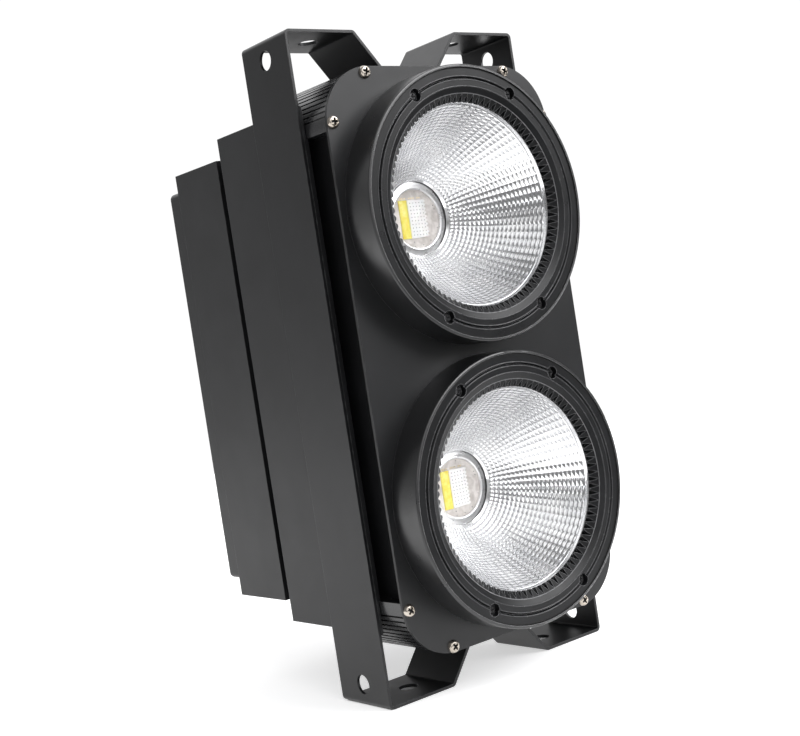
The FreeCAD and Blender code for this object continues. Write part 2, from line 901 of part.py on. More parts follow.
def bezel(z):
    """The flat ring inside the lip, with a fine groove and a coned mouth."""
    front = bezel_front()
    shelf = shelf_depth - barrel_height
    nose_back = front + bezel_nose_thickness
    nose_outer = seat_radius - fit_clearance
    half_groove = bezel_groove_width / 2
    ring = turned([
        (bezel_mouth_radius, front),
        (bezel_groove_radius - half_groove, front),
        (bezel_groove_radius, front + bezel_groove_depth),
        (bezel_groove_radius + half_groove, front),
        (bezel_outer_radius, front),
        (bezel_outer_radius, shelf),
        (nose_outer, shelf),
        (nose_outer, nose_back),
        (bezel_throat_radius, nose_back),
    ])
    holes = []
    seat = front + bezel_counterbore_depth
    for angle in bezel_screw_angles:
        x, hole_z = on_circle(bezel_groove_radius, angle)
        holes.append(rod(bezel_counterbore_radius, front - overrun, seat, x=x, z=hole_z))
        hole_radius = bezel_screw_radius + screw_clearance
        holes.append(rod(hole_radius, seat - overrun, shelf + overrun, x=x, z=hole_z))
    return without(ring, holes).translated(vector(0, 0, z))


def serrated_ring(z):
    """A ring of fine teeth behind the bezel's mouth."""
    front = bezel_front() + bezel_nose_thickness
    back = seat_depth - barrel_height - reflector_sheet
    ring = rod(seat_radius - fit_clearance, front, back)
    pitch = 360 / tooth_count
    corners = []
    for number in range(tooth_count):
        middle = number * pitch
        half_flat = pitch * tooth_flat_share / 2
        for radius, angle in (
            (tooth_tip_radius, middle - half_flat),
            (tooth_tip_radius, middle + half_flat),
            (bezel_throat_radius, middle + pitch / 2),
        ):
            x, corner_z = on_circle(radius, angle)
            corners.append(vector(x, front - overrun, corner_z))
    outline = Part.Face(Part.makePolygon(corners + corners[:1]))
    opening = outline.extrude(vector(0, back - front + 2 * overrun, 0))
    lead = cone(bezel_throat_radius, tooth_tip_radius, front, front + tooth_lead_depth)
    return without(ring, [opening, lead]).translated(vector(0, 0, z))


def reflector_radius(depth):
    """The radius of the bowl's parabola at one depth."""
    mouth = seat_depth - barrel_height - reflector_sheet
    share = (reflector_throat_depth - depth) / (reflector_throat_depth - mouth)
    mouth_square = reflector_mouth_radius ** 2
    throat_square = reflector_throat_radius ** 2
    return math.sqrt(throat_square + (mouth_square - throat_square) * share)


def bowl_curve(first_depth, last_depth, offset):
    points = []
    for number in range(reflector_curve_count + 1):
        step = (last_depth - first_depth) * number / reflector_curve_count
        depth = first_depth + step
        points.append(vector(reflector_radius(depth) + offset, depth, 0))
    curve = Part.BSplineCurve()
    curve.interpolate(points)
    return curve.toShape(), points[0], points[-1]


def reflector(z):
    """A spun bowl with a flat rim that is clamped on the barrel's ledge."""
    mouth = seat_depth - barrel_height - reflector_sheet
    rim_back = mouth + reflector_sheet
    rim_radius = seat_radius - fit_clearance
    inner, throat_inner, mouth_inner = bowl_curve(reflector_throat_depth, mouth, 0)
    outer, mouth_outer, throat_outer = bowl_curve(
        rim_back, reflector_throat_depth, reflector_sheet
    )
    rim_front_corner = vector(rim_radius, mouth, 0)
    rim_back_corner = vector(rim_radius, rim_back, 0)
    edges = [
        inner,
        Part.makeLine(mouth_inner, rim_front_corner),
        Part.makeLine(rim_front_corner, rim_back_corner),
        Part.makeLine(rim_back_corner, mouth_outer),
        outer,
        Part.makeLine(throat_outer, throat_inner),
    ]
    bowl = Part.Face(Part.Wire(edges)).revolve(vector(0, 0, 0), vector(0, 1, 0), 360)
    return bowl.translated(vector(0, 0, z))


def collar(z):
    """The ring between the bowl's throat and the lamp board."""
    back = reflector_throat_depth + collar_thickness
    return turned([
        (collar_inner_radius, reflector_throat_depth),
        (collar_outer_radius, reflector_throat_depth),
        (collar_outer_radius, back),
        (collar_inner_radius, back),
    ], z)


def cob_board(z):
    """The square carrier board between the collar and the heatsink."""
    half = board_size / 2
    return centred_box(half, heatsink_depth - board_thickness, heatsink_depth, half, z=z)


def emitter(x0, x1, z):
    board_front = heatsink_depth - board_thickness
    return box(
        x0, x1, board_front - emitter_thickness, board_front,
        z - emitter_height / 2, z + emitter_height / 2,
    )


def emitter_left_edge():
    whole_width = warm_emitter_width + emitter_gap + white_emitter_width
    return -whole_width / 2 - emitter_shift


def warm_emitter(z):
    left = emitter_left_edge()
    return emitter(left, left + warm_emitter_width, z)


def white_emitter(z):
    left = emitter_left_edge() + warm_emitter_width + emitter_gap
    return emitter(left, left + white_emitter_width, z)


def heatsink(z):
    """A round base with upright fins behind it."""
    solids = [rod(tube_outer_radius, heatsink_depth, fin_depth)]
    half_fin = heatsink_fin_thickness / 2
    half_row = heatsink_fin_radius - heatsink_fin_end_gap
    for number in range(heatsink_fin_count):
        x = half_row * (2 * number / (heatsink_fin_count - 1) - 1)
        half_height = math.sqrt(heatsink_fin_radius ** 2 - x ** 2)
        solids.append(centred_box(half_fin, fin_depth, tray_depth, half_height, x=x))
    holes = []
    for angle in heatsink_screw_angles:
        x, hole_z = on_circle(heatsink_screw_circle, angle)
        hole_radius = heatsink_screw_radius + screw_clearance
        holes.append(rod(
            hole_radius, heatsink_depth - overrun, fin_depth + overrun, x=x, z=hole_z
        ))
    return without(joined(solids), holes).translated(vector(0, 0, z))


def ring_of_screws(one, radius, angles, depth):
    places = [on_circle(radius, angle, z) for z in lamp_heights for angle in angles]
    return Part.makeCompound(copies(one, places, depth))


def bezel_screws():
    one = screw(
        bezel_screw_head_radius, bezel_screw_head_height, bezel_screw_radius,
        bezel_screw_length,
    )
    seat = bezel_front() + bezel_counterbore_depth
    return ring_of_screws(one, bezel_groove_radius, bezel_screw_angles, seat)


def barrel_screws():
    one = facing_front(screw(
        barrel_screw_head_radius, barrel_screw_head_height, barrel_screw_radius,
        barrel_screw_length,
    ))
    return ring_of_screws(one, barrel_screw_circle, barrel_screw_angles, plate_thickness)


def heatsink_screws():
    one = facing_front(screw(
        heatsink_screw_head_radius, heatsink_screw_head_height, heatsink_screw_radius,
        heatsink_screw_length,
    ))
    return ring_of_screws(one, heatsink_screw_circle, heatsink_screw_angles, fin_depth)


# Inner tray, power supply and driver board


def driver_stud_places():
    half_z = driver_height / 2 - driver_stud_inset
    return [
        (side_x * driver_stud_x, driver_centre_z + side_z * half_z)
        for side_x in (1, -1)
        for side_z in (1, -1)
    ]


def inner_tray():
    """A sheet across the housing, behind the fins, with air openings and board studs."""
    half_x = mid_half_width - housing_sheet
    half_z = mid_half_height - housing_sheet
    sheet = centred_box(half_x, tray_depth, tray_back_depth, half_z)
    windows = [
        centred_box(
            driver_stud_x - tray_stud_radius - tray_window_gap, tray_depth - overrun,
            tray_back_depth + overrun,
            tray_window_height / 2, z=side * tray_window_centre,
        )
        for side in (1, -1)
    ]
    stud_end = tray_back_depth + tray_stud_length
    studs = [
        rod(tray_stud_radius, tray_depth, stud_end, x=x, z=z) for x, z in driver_stud_places()
    ]
    return joined([sheet.cut(Part.makeCompound(windows))] + studs)


def power_supply():
    """An open sheet case on the tray with its coil and capacitors inside."""
    half_x = supply_width / 2
    half_z = supply_height / 2
    back = tray_back_depth + supply_length
    case = centred_box(half_x, tray_back_depth, back, half_z, z=supply_centre_z)
    hollow = centred_box(
        half_x - supply_sheet, tray_back_depth + supply_sheet, back + overrun,
        half_z + overrun, z=supply_centre_z,
    )
    floor_top = tray_back_depth + supply_floor_gap
    floor = centred_box(half_x, tray_back_depth, floor_top, half_z, z=supply_centre_z)
    coil_z = supply_centre_z - supply_coil_height
    coil = centred_box(
        supply_coil_width / 2, floor_top, floor_top + supply_coil_length,
        supply_coil_height / 2, z=coil_z,
    )
    capacitors = [
        rod(
            supply_capacitor_radius, floor_top, floor_top + supply_capacitor_length,
            x=side * supply_capacitor_pitch / 2, z=supply_centre_z + row * supply_capacitor_pitch,
        )
        for side in (1, -1)
        for row in (0, 1)
    ]
    return joined([case.cut(hollow), floor, coil] + capacitors)


def driver_board():
    """The lamp driver's board with its chokes, held on the tray's studs."""
    front = tray_back_depth + tray_stud_length
    back = front + driver_thickness
    board = centred_box(driver_width / 2, front, back, driver_height / 2, z=driver_centre_z)
    chokes = [
        rod(
            choke_radius, back, back + choke_height,
            x=choke_pitch * (number - (choke_count - 1) / 2), z=driver_centre_z,
        )
        for number in range(choke_count)
    ]
    return joined([board] + chokes)


# Rear cover and what it carries


def vent_slots(z):
    """Slots across one fan's mouth, shorter towards the top and bottom."""
    slots = []
    for number in range(vent_slot_count):
        offset = vent_slot_pitch * (number - (vent_slot_count - 1) / 2)
        half_length = math.sqrt(vent_radius ** 2 - offset ** 2)
        slots.append(centred_box(
            half_length, cover_inner_depth - overrun, cover_back_depth + overrun,
            vent_slot_height / 2, z=z + offset,
        ))
    return slots


def control_stud_places():
    half_x = control_board_width / 2 - control_stud_inset
    half_z = control_board_height / 2 - control_stud_inset
    return [
        (side_x * half_x, control_z + side_z * half_z)
        for side_x in (1, -1)
        for side_z in (1, -1)
    ]


def fan_screw_places():
    return [
        (side_x * fan_hole_offset, fan_z + side_z * fan_hole_offset)
        for fan_z in (fan_upper_z, fan_lower_z)
        for side_x in (1, -1)
        for side_z in (1, -1)
    ]


def socket_screw_places():
    return [
        (x + side * socket_screw_x, socket_row_z + side * socket_screw_z)
        for x in socket_places
        for side in (1, -1)
    ]


def rounded_tray(half_x, half_z, rounding, y0, y1):
    """A block whose back face and side edges are all rounded."""
    block = centred_box(half_x, y0, y1, half_z)
    chosen = [edge for edge in block.Edges if edge.CenterOfMass.y > y0 + same_place]
    return block.makeFillet(rounding, chosen)


def rear_cover():
    """A pressed tray with vents, a display window, button holes and socket holes."""
    outer = rounded_tray(
        cover_half_width, cover_half_height, cover_rounding, cover_depth, cover_back_depth
    )
    inner = rounded_tray(
        cover_half_width - housing_sheet, cover_half_height - housing_sheet,
        cover_rounding - housing_sheet, cover_depth - overrun, cover_inner_depth,
    )
    pieces = [outer.cut(inner)]
    dimple_bottom = cover_back_depth - dimple_depth
    cuts = []
    for side in (1, -1):
        for z in cover_stud_heights:
            x = side * cover_stud_x
            cup = rod(
                dimple_radius + housing_sheet, cover_inner_depth - dimple_depth,
                cover_inner_depth + housing_sheet / 2, x=x, z=z,
            )
            pieces.append(cup.common(outer))
            cuts.append(rod(
                dimple_radius, dimple_bottom, cover_back_depth + overrun, x=x, z=z
            ))
            cuts.append(rod(
                cover_screw_radius + screw_clearance, cover_inner_depth - dimple_depth - overrun,
                cover_back_depth, x=x, z=z,
            ))
    for x, z in control_stud_places():
        pieces.append(rod(
            control_stud_radius, control_board_depth, cover_inner_depth, x=x, z=z
        ))
    ends = (cover_inner_depth - overrun, cover_back_depth + overrun)
    for fan_z in (fan_upper_z, fan_lower_z):
        cuts += vent_slots(fan_z)
    cuts.append(centred_box(
        window_width / 2, *ends, window_height / 2, x=window_x, z=control_z
    ))
    cuts += [rod(button_radius + fit_clearance, *ends, x=x, z=control_z) for x in button_places]
    socket_hole_radius = socket_body_radius + fit_clearance
    cuts += [rod(socket_hole_radius, *ends, x=x, z=socket_row_z) for x in socket_places]
    hole_radius = fan_screw_radius + screw_clearance
    cuts += [rod(hole_radius, *ends, x=x, z=z) for x, z in fan_screw_places()]
    hole_radius = socket_screw_radius + screw_clearance
    cuts += [rod(hole_radius, *ends, x=x, z=z) for x, z in socket_screw_places()]
    return without(joined(pieces), cuts)


def cover_screws():
    one = facing_front(screw(
        cover_screw_head_radius, cover_screw_head_height, cover_screw_radius,
        cover_screw_length,
    ))
    places = [(side * cover_stud_x, z) for side in (1, -1) for z in cover_stud_heights]
    return Part.makeCompound(copies(one, places, cover_back_depth - dimple_depth))


def fan_frame(z):
    """A square frame with a round bore and a spoked bearing seat in front."""
    half = fan_size / 2
    back = fan_depth + fan_length
    frame = centred_box(half, fan_depth, back, half)
    frame = frame.cut(rod(fan_bore_radius, fan_depth - overrun, back + overrun))
    base_back = fan_depth + fan_base_thickness
    pieces = [frame, rod(fan_base_radius, fan_depth, base_back)]
    for number in range(fan_spoke_count):
        spoke = box(
            0, fan_bore_radius + overrun, fan_depth, base_back,
            -fan_spoke_width / 2, fan_spoke_width / 2,
        )
        spoke.rotate(vector(0, 0, 0), vector(0, 1, 0), 360 * number / fan_spoke_count)
        pieces.append(spoke)
    bore_radius = fan_axle_radius + fan_bearing_clearance
    cuts = [rod(bore_radius, fan_depth - overrun, base_back + overrun)]
    cuts += [
        rod(
            fan_hole_radius, fan_depth - overrun, back + overrun,
            x=side_x * fan_hole_offset, z=side_z * fan_hole_offset,
        )
        for side_x in (1, -1)
        for side_z in (1, -1)
    ]
    return without(joined(pieces), cuts).translated(vector(0, 0, z))


def fan_rotor(z):
    """A hub with pitched blades and an axle that runs in the frame's bearing seat."""
    front = fan_depth + fan_base_thickness + fit_clearance
    back = front + fan_rotor_length
    hub = rod(fan_hub_radius, front, back)
    axle = rod(fan_axle_radius, fan_depth, front + overrun)
    middle = (front + back) / 2
    blades = []
    for number in range(fan_blade_count):
        blade = box(
            fan_hub_radius / 2, fan_blade_radius + overrun,
            -fan_blade_thickness / 2, fan_blade_thickness / 2,
            -fan_blade_chord / 2, fan_blade_chord / 2,
        )
        blade.rotate(vector(0, 0, 0), vector(1, 0, 0), 90 - fan_blade_pitch_deg)
        blade.translate(vector(0, middle, 0))
        blade.rotate(vector(0, 0, 0), vector(0, 1, 0), 360 * number / fan_blade_count)
        blades.append(blade)
    sweep = rod(fan_blade_radius, front, back)
    return joined([hub, axle] + [blade.common(sweep) for blade in blades]).translated(
        vector(0, 0, z)
    )


def fan_screws():
    one = facing_front(screw(
        fan_screw_head_radius, fan_screw_head_height, fan_screw_radius, fan_screw_length
    ))
    return Part.makeCompound(copies(one, fan_screw_places(), cover_back_depth))


def control_board():
    """The board behind the cover's back, with the display and one switch for each button."""
    front = control_board_depth - control_board_thickness
    half_z = control_board_height / 2
    pieces = [centred_box(
        control_board_width / 2, front, control_board_depth, half_z, z=control_z
    )]
    pieces.append(centred_box(
        window_width / 2, control_board_depth, control_board_depth + display_thickness,
        window_height / 2, x=window_x, z=control_z,
    ))
    for x in button_places:
        pieces.append(centred_box(
            switch_size / 2, control_board_depth, control_board_depth + switch_height,
            switch_size / 2, x=x, z=control_z,
        ))
    return joined(pieces)


def display_window():
    """The clear pane in the cover, with a flange behind the sheet."""
    flange = centred_box(
        window_width / 2 + window_flange, cover_inner_depth - window_flange_thickness,
        cover_inner_depth, window_height / 2 + window_flange, x=window_x, z=control_z,
    )
    pane = centred_box(
        window_width / 2 - screw_clearance, cover_inner_depth - window_flange_thickness,
        cover_back_depth, window_height / 2 - screw_clearance, x=window_x, z=control_z,
    )
    return joined([flange, pane])


def button(x):
    """A round cap with a skirt behind the cover and a stem over its switch."""
    skirt_back = cover_inner_depth - button_skirt_gap
    skirt_front = skirt_back - button_skirt_thickness
    switch_top = control_board_depth + switch_height
    stem_end = switch_top + button_travel + button_stop_gap
    cap = rod(button_radius, skirt_front, cover_back_depth + button_stand, x=x, z=control_z)
    return joined([
        cap,
        rod(button_skirt_radius, skirt_front, skirt_back, x=x, z=control_z),
        rod(button_stem_radius, stem_end, skirt_front, x=x, z=control_z),
    ])


def socket_flange(x):
    """The screwed flange and round body that every socket has."""
    back = cover_back_depth + socket_flange_thickness
    flange = rounded_block(
        socket_flange_width / 2, socket_flange_height / 2, socket_flange_corner,
        cover_back_depth, back, x, socket_row_z,
    )
    body = rod(socket_body_radius, back - socket_body_length, back, x=x, z=socket_row_z)
    holes = []
    for side in (1, -1):
        holes.append(rod(
            socket_screw_radius + screw_clearance, cover_back_depth - overrun, back + overrun,
            x=x + side * socket_screw_x, z=socket_row_z + side * socket_screw_z,
        ))
    return without(joined([flange, body]), holes)


def pin_rods(x, radius, y0, y1):
    rods = []
    for number in range(pin_count):
        pin_x, pin_z = on_circle(pin_circle_radius, -90 + 360 * number / pin_count)
        rods.append(rod(radius, y0, y1, x=x + pin_x, z=socket_row_z + pin_z))
    return rods


def data_input():
    """A three-pin plug socket: a round cavity with its pins standing in it."""
    x = socket_places[0]
    back = cover_back_depth + socket_flange_thickness
    floor = back - data_cavity_depth
    shell = socket_flange(x).cut(
        rod(data_cavity_radius, floor, back + overrun, x=x, z=socket_row_z)
    )
    return joined([shell] + pin_rods(x, data_pin_radius, floor - overrun, floor + data_pin_length))


def data_output():
    """A three-hole socket with a slot for its latch."""
    x = socket_places[1]
    back = cover_back_depth + socket_flange_thickness
    face = back - data_face_recess
    cuts = [rod(data_face_radius, face, back + overrun, x=x, z=socket_row_z)]
    cuts += pin_rods(x, data_hole_radius, face - data_hole_depth, back)
    slot_z = socket_row_z + latch_offset
    slot_start = back + latch_stand - latch_length - latch_travel - fit_clearance
    cuts.append(box(
        x - latch_width / 2 - fit_clearance, x + latch_width / 2 + fit_clearance,
        slot_start, back + overrun, slot_z - fit_clearance, slot_z + latch_height + fit_clearance,
    ))
    return without(socket_flange(x), cuts)


def data_latch():
    """The tab that is pressed in to free the plug."""
    x = socket_places[1]
    back = cover_back_depth + socket_flange_thickness + latch_stand
    slot_z = socket_row_z + latch_offset
    return box(
        x - latch_width / 2, x + latch_width / 2, back - latch_length, back,
        slot_z, slot_z + latch_height,
    )


def power_socket(x):
    """A twist-lock mains socket: a rim round a deep cavity with a keyed post in it."""
    rim_back = cover_back_depth + power_rim_height
    floor = rim_back - power_cavity_depth
    rim = rod(power_rim_radius, cover_back_depth, rim_back, x=x, z=socket_row_z)
    shell = joined([socket_flange(x), rim]).cut(
        rod(power_cavity_radius, floor, rim_back + overrun, x=x, z=socket_row_z)
    )
    post = rod(
        power_post_radius, floor - overrun, floor + power_post_length, x=x, z=socket_row_z
    )
    key = box(
        x - power_key_width / 2, x + power_key_width / 2, floor - overrun,
        floor + power_post_length, socket_row_z,
        socket_row_z + power_cavity_radius + screw_clearance,
    )
    return joined([shell, post, key])


def socket_screws():
    one = facing_front(screw(
        socket_screw_head_radius, socket_screw_head_height, socket_screw_radius,
        socket_screw_length,
    ))
    seat = cover_back_depth + socket_flange_thickness
    return Part.makeCompound(copies(one, socket_screw_places(), seat))


def main():
    os.makedirs("parts", exist_ok=True)
    write("front_plate", front_plate())
    write("plate_screws", plate_screws())
    top = ribbed_end_top()
    write("ribbed_end_top", top)
    write("ribbed_end_bottom", mirrored_z(top))
    write("right_side_wall", right_side_wall())
    write("left_side_wall", mirrored_x(right_side_wall()))
    write("chassis_plate", chassis_plate())
    write("chassis_screws", chassis_screws())
    bracket = right_bracket()
    write("right_bracket", bracket)
    write("left_bracket", mirrored_x(bracket))
    write("bracket_screws", bracket_screws())
    write("mid_housing", mid_housing())
    write("rear_housing", rear_housing())
    write("housing_screws", housing_screws())
    lamp_pieces = (
        ("barrel", barrel),
        ("bezel", bezel),
        ("serrated_ring", serrated_ring),
        ("reflector", reflector),
        ("lamp_collar", collar),
        ("lamp_board", cob_board),
        ("warm_emitter", warm_emitter),
        ("white_emitter", white_emitter),
        ("heatsink", heatsink),
    )
    for prefix, z in zip(("upper", "lower"), lamp_heights):
        for name, make in lamp_pieces:
            write(prefix + "_" + name, make(z))
    write("bezel_screws", bezel_screws())
    write("barrel_screws", barrel_screws())
    write("heatsink_screws", heatsink_screws())
    write("inner_tray", inner_tray())
    write("power_supply", power_supply())
    write("driver_board", driver_board())
    write("rear_cover", rear_cover())
    write("cover_screws", cover_screws())
    for prefix, z in (("upper", fan_upper_z), ("lower", fan_lower_z)):
        write(prefix + "_fan_frame", fan_frame(z))
        write(prefix + "_fan_rotor", fan_rotor(z))
    write("fan_screws", fan_screws())
    write("control_board", control_board())
    write("display_window", display_window())
    for name, x in zip(button_names, button_places):
        write(name + "_button", button(x))
    write("data_input", data_input())
    write("data_output", data_output())
    write("data_latch", data_latch())
    write("power_input", power_socket(socket_places[2]))
    write("power_output", power_socket(socket_places[3]))
    write("socket_screws", socket_screws())


main()
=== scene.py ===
import json
import math

import bmesh
import bpy
from mathutils import Matrix, Vector

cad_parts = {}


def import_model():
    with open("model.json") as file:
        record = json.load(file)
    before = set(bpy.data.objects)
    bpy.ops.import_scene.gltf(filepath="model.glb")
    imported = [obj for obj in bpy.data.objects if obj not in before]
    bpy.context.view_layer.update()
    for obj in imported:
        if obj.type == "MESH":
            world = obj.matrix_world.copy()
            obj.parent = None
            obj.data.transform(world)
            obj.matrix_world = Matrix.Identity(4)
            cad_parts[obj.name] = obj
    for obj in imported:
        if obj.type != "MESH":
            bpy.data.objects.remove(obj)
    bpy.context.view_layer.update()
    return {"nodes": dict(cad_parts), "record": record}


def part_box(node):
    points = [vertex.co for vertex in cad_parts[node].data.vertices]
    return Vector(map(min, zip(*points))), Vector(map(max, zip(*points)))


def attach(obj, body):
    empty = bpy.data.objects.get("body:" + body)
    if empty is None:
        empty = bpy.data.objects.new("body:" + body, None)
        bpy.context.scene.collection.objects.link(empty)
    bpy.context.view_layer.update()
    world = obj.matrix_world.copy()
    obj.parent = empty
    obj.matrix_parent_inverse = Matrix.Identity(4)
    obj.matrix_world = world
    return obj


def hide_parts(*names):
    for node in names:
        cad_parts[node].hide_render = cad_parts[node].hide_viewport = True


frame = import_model()

# Audience blinder light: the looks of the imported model. Named lengths are in millimetres and
# MM turns them into Blender's metres; angles are in degrees. Depth is measured back from the
# front plate's front face, and x and height from the plate's middle.
MM = 0.001
PLATE_FRONT = -102.0
MIDDLE_HEIGHT = 218.0
LAMPS = {"upper": 93.5, "lower": -93.5}
SMOOTH_LIMIT = 35.0

# Reflector bowl, a paraboloid between its mouth and its throat
BOWL_MOUTH_RADIUS = 66.5
BOWL_THROAT_RADIUS = 25.5
BOWL_MOUTH_DEPTH = -16.5
BOWL_THROAT_DEPTH = 42.0
BOWL_SPAN = BOWL_MOUTH_RADIUS ** 2 - BOWL_THROAT_RADIUS ** 2
BOWL_SHEET = 1.2
BOWL_RIM_RADIUS = 75.7
BOWL_BACK_STEPS = 12
THROAT_LIP = 0.2

# Its facets, each a grid of cells, and the fine step between them and the plain rim
BOWL_COLUMNS = 72
BOWL_ROWS = 22
FACET_CELLS = 4
FACET_RISE = 0.30
FACETS_OUTER_RADIUS = 65.3
FACETS_INNER_RADIUS = 27.0
CURVE_SAMPLES = 400
STEP_WIDTH = 0.30
STEP_DROP = 0.25
STEP_EDGE = 0.34
STEP_RISE = 0.1

# Rolled collar round the lamp board: the radius and depth of each point of its outline
COLLAR_OUTLINE = (
    (20.0, 44.0), (20.0, 43.4), (20.12, 42.8), (20.45, 42.3), (20.9, 42.05),
    (21.4, 42.0), (21.9, 42.12), (22.4, 42.4), (23.2, 42.62), (24.4, 42.8), (25.2, 42.9),
    (30.0, 43.1), (30.0, 44.0),
)

# Lamp board and its two emitter fields
BOARD_DEPTH = 44.0
BOARD_THICKNESS = 2.0
BOARD_HALF = 26.0
BOARD_BEVEL = 0.2
MARK_OVERLAP = 0.1
EMITTER_RISE = 0.8
EMITTER_HALF_HEIGHT = 13.2
WARM_LEFT = -13.5
WARM_RIGHT = -6.3
WARM_BEVEL = 0.3
WHITE_LEFT = -5.9
WHITE_RIGHT = 9.5
WHITE_BEVEL = 0.12
WHITE_TEETH = 10
WHITE_TOOTH_DEPTH = 1.1
WHITE_TOOTH_SHARES = (0.12, 0.34, 0.66, 0.88)

# Dark spots (x, height and radius), contact pads (x) and chips of the lamp board
DARK_SPOTS = (
    (-4.1, -15.7, 0.42), (3.5, -18.2, 0.42), (10.6, -15.6, 0.42), (-4.0, -18.8, 0.36),
    (16.8, 8.3, 0.38), (17.6, 5.8, 0.46), (17.9, -7.2, 0.34), (2.1, 18.6, 0.34),
)
SPOT_RISE = 0.12
SPOT_BEVEL = 0.05
PAD_PLACES = (-11.2, -9.6, -7.4, -3.4, -1.6, 0.4, 3.8, 5.6)
PAD_HALF_WIDTH = 0.6
PAD_BOTTOM = 13.9
PAD_TOP = 14.9
PAD_RISE = 0.1
PAD_BEVEL = 0.04
CHIP_ROWS = 10
CHIP_COLUMNS = 5
CHIP_LEFT = -3.8
CHIP_BOTTOM = -11.0
CHIP_STEP_ACROSS = 2.7
CHIP_STEP_UP = 2.44
CHIP_RADIUS = 0.36
CHIP_SIDES = 10
CHIP_RISE = 0.03
CHIP_HEIGHT = 0.1
CHIP_BEVEL = 0.02

# Bezel trim: beads beside the groove and round the mouth, painted lighter as a sheen, and
# painted shade in the joint and on the groove's floor
BEZEL_FRONT = -23.5
BEZEL_HOLES = (-60.0, 60.0, 120.0, 240.0, 300.0)
HOLE_MARGIN = 3.3
GROOVE_FLOOR = -22.0
GROOVE_INNER = 79.8
GROOVE_OUTER = 82.2
GROOVE_MARGIN = 0.15
MOUTH_BEAD = 75.7
BEAD_HALF = 0.38
BEAD_RISE = 0.32
BEAD_TURNS = (0.0, 0.52, 1.05, 1.57, 2.09, 2.62, 3.14)
JOINT_INNER = 87.0
JOINT_OUTER = 87.8
SHADE_HEIGHT = 0.04

# Plate screws: their places in one quarter of the plate, how they are turned, and their heads
SCREW_PLACES = ((59.5, 184.0), (90.0, 153.0))
SCREW_FIRST_TURN = 23.0
SCREW_TURN_STEP = 41.0
HEAD_RADIUS = 4.2
HEAD_HEIGHT = 2.8
HEAD_RINGS = 16
HEAD_SEGMENTS = 72
HEAD_CROWN = 0.16
HEAD_SHOULDER = 0.84
HEAD_SHOULDER_POWER = 9
RECESS_HALF_WIDTH = 0.62
RECESS_HALF_LENGTH = 2.45
RECESS_DEPTH = 1.8
RECESS_WIDE_SHARE = 1.3
RECESS_SIDE_SHARE = 0.6
RECESS_END_SHARE = 0.2
RECESS_DARK_FROM = 0.45

# Finishes that several materials share, each from its darker to its lighter tone
BLACK_COAT = ((0.006, 0.0062, 0.0068), (0.009, 0.0093, 0.0102))
BLACK_ANODISED = ((0.006, 0.0062, 0.0068), (0.01, 0.0103, 0.0112))
BLACK_MOULDING = ((0.014, 0.014, 0.015), (0.024, 0.024, 0.026))

# What shows where edges are chafed, standing in also for a painted highlight along them, and the
# turned rings' wave in radians per metre
RUBBED_COAT_AND_EDGE_SHEEN = (0.22, 0.22, 0.23)
RUBBED_LACQUER_AND_EDGE_SHEEN = (0.36, 0.36, 0.37)
LATHE_RINGS = 14000.0

# Photograph's camera; its place and its near limit are in metres
CAMERA_PLACE = (-0.57341, -0.75328, 0.24167)
CAMERA_TURN = (88.376, 8.826, -38.136)
CAMERA_LENS = 58.99
CAMERA_SENSOR = 36.0
CAMERA_SHIFT = (-0.0002, -0.0079)
CAMERA_NEAR = 0.01

# Studio: the room's even light, then its softboxes, each as a direction, an inner and an
# outer angle and a strength
ROOM_BASE = 0.26
ROOM_LIGHTS = (
    ((0.1, 0.75, 0.65), 15.0, 44.0, 1.19),
    ((0.50, -0.63, 0.57), 19.0, 28.0, 5.18),
    ((0.60, -0.74, 0.32), 5.0, 15.0, 2.16),
    ((0.62, -0.77, 0.05), 8.0, 20.0, 0.22),
    ((0.55, 0.05, 0.83), 15.0, 35.0, 0.76),
    ((-0.05, -0.70, 0.70), 10.0, 28.0, 1.3),
    ((-0.52, -0.55, 0.62), 10.0, 28.0, 0.97),
    ((-0.60, 0.74, -0.30), 10.0, 34.0, 0.56),
    ((-0.20, -0.97, 0.0), 8.0, 22.0, 0.59),
    ((-0.30, -0.75, -0.60), 8.0, 24.0, 0.86),
    ((-0.90, -0.30, 0.30), 3.0, 8.0, 1.4),
    ((-0.60, -0.72, 0.30), 3.0, 8.0, 3.24),
    ((-0.20, -0.93, 0.28), 3.0, 8.0, 3.24),
    ((-0.75, -0.55, -0.30), 4.0, 10.0, 0.76),
    ((-0.40, -0.85, -0.30), 4.0, 10.0, 2.81),
    ((-0.95, -0.10, -0.20), 4.0, 10.0, 2.27),
)
ROOM_TINT = (0.99, 0.99, 1.0)
BACKDROP_STRENGTH = 1.05

# White paper under the object, its lengths in metres, and the strength of its faint glow
PAPER_HALF_WIDTH = 1.3
PAPER_FRONT = -0.42
PAPER_BACK = 1.6
PAPER_DROP = 0.0002
PAPER_TONES = ((0.80, 0.80, 0.80), (0.83, 0.83, 0.83))
PAPER_GLOW = 0.53

# Where the brackets' flanges lie on the paper, which doesn't glow there, a painted shade under
# them: their middle and half width across the model, and how far the dark stays inside their
# ends
FLANGE_MIDDLE = 70.2
FLANGE_HALF = 25.2
FLANGE_EDGE = 1.5


# Meshes


def place(x, depth, z):
    """A point of the model, in metres, from its place round the plate's middle."""
    return Vector((x * MM, (depth + PLATE_FRONT) * MM, (z + MIDDLE_HEIGHT) * MM))


def piece_from(bm, name, smooth_degrees=SMOOTH_LIMIT):
    """A finished object from a bmesh, smooth except across its sharper edges."""
    bm.normal_update()
    limit = math.radians(smooth_degrees)
    for face in bm.faces:
        face.smooth = True
    for edge in bm.edges:
        edge.smooth = len(edge.link_faces) == 2 and edge.calc_face_angle(0.0) < limit
    mesh = bpy.data.meshes.new(name)
    bm.to_mesh(mesh)
    bm.free()
    piece = bpy.data.objects.new(name, mesh)
    bpy.context.scene.collection.objects.link(piece)
    return piece


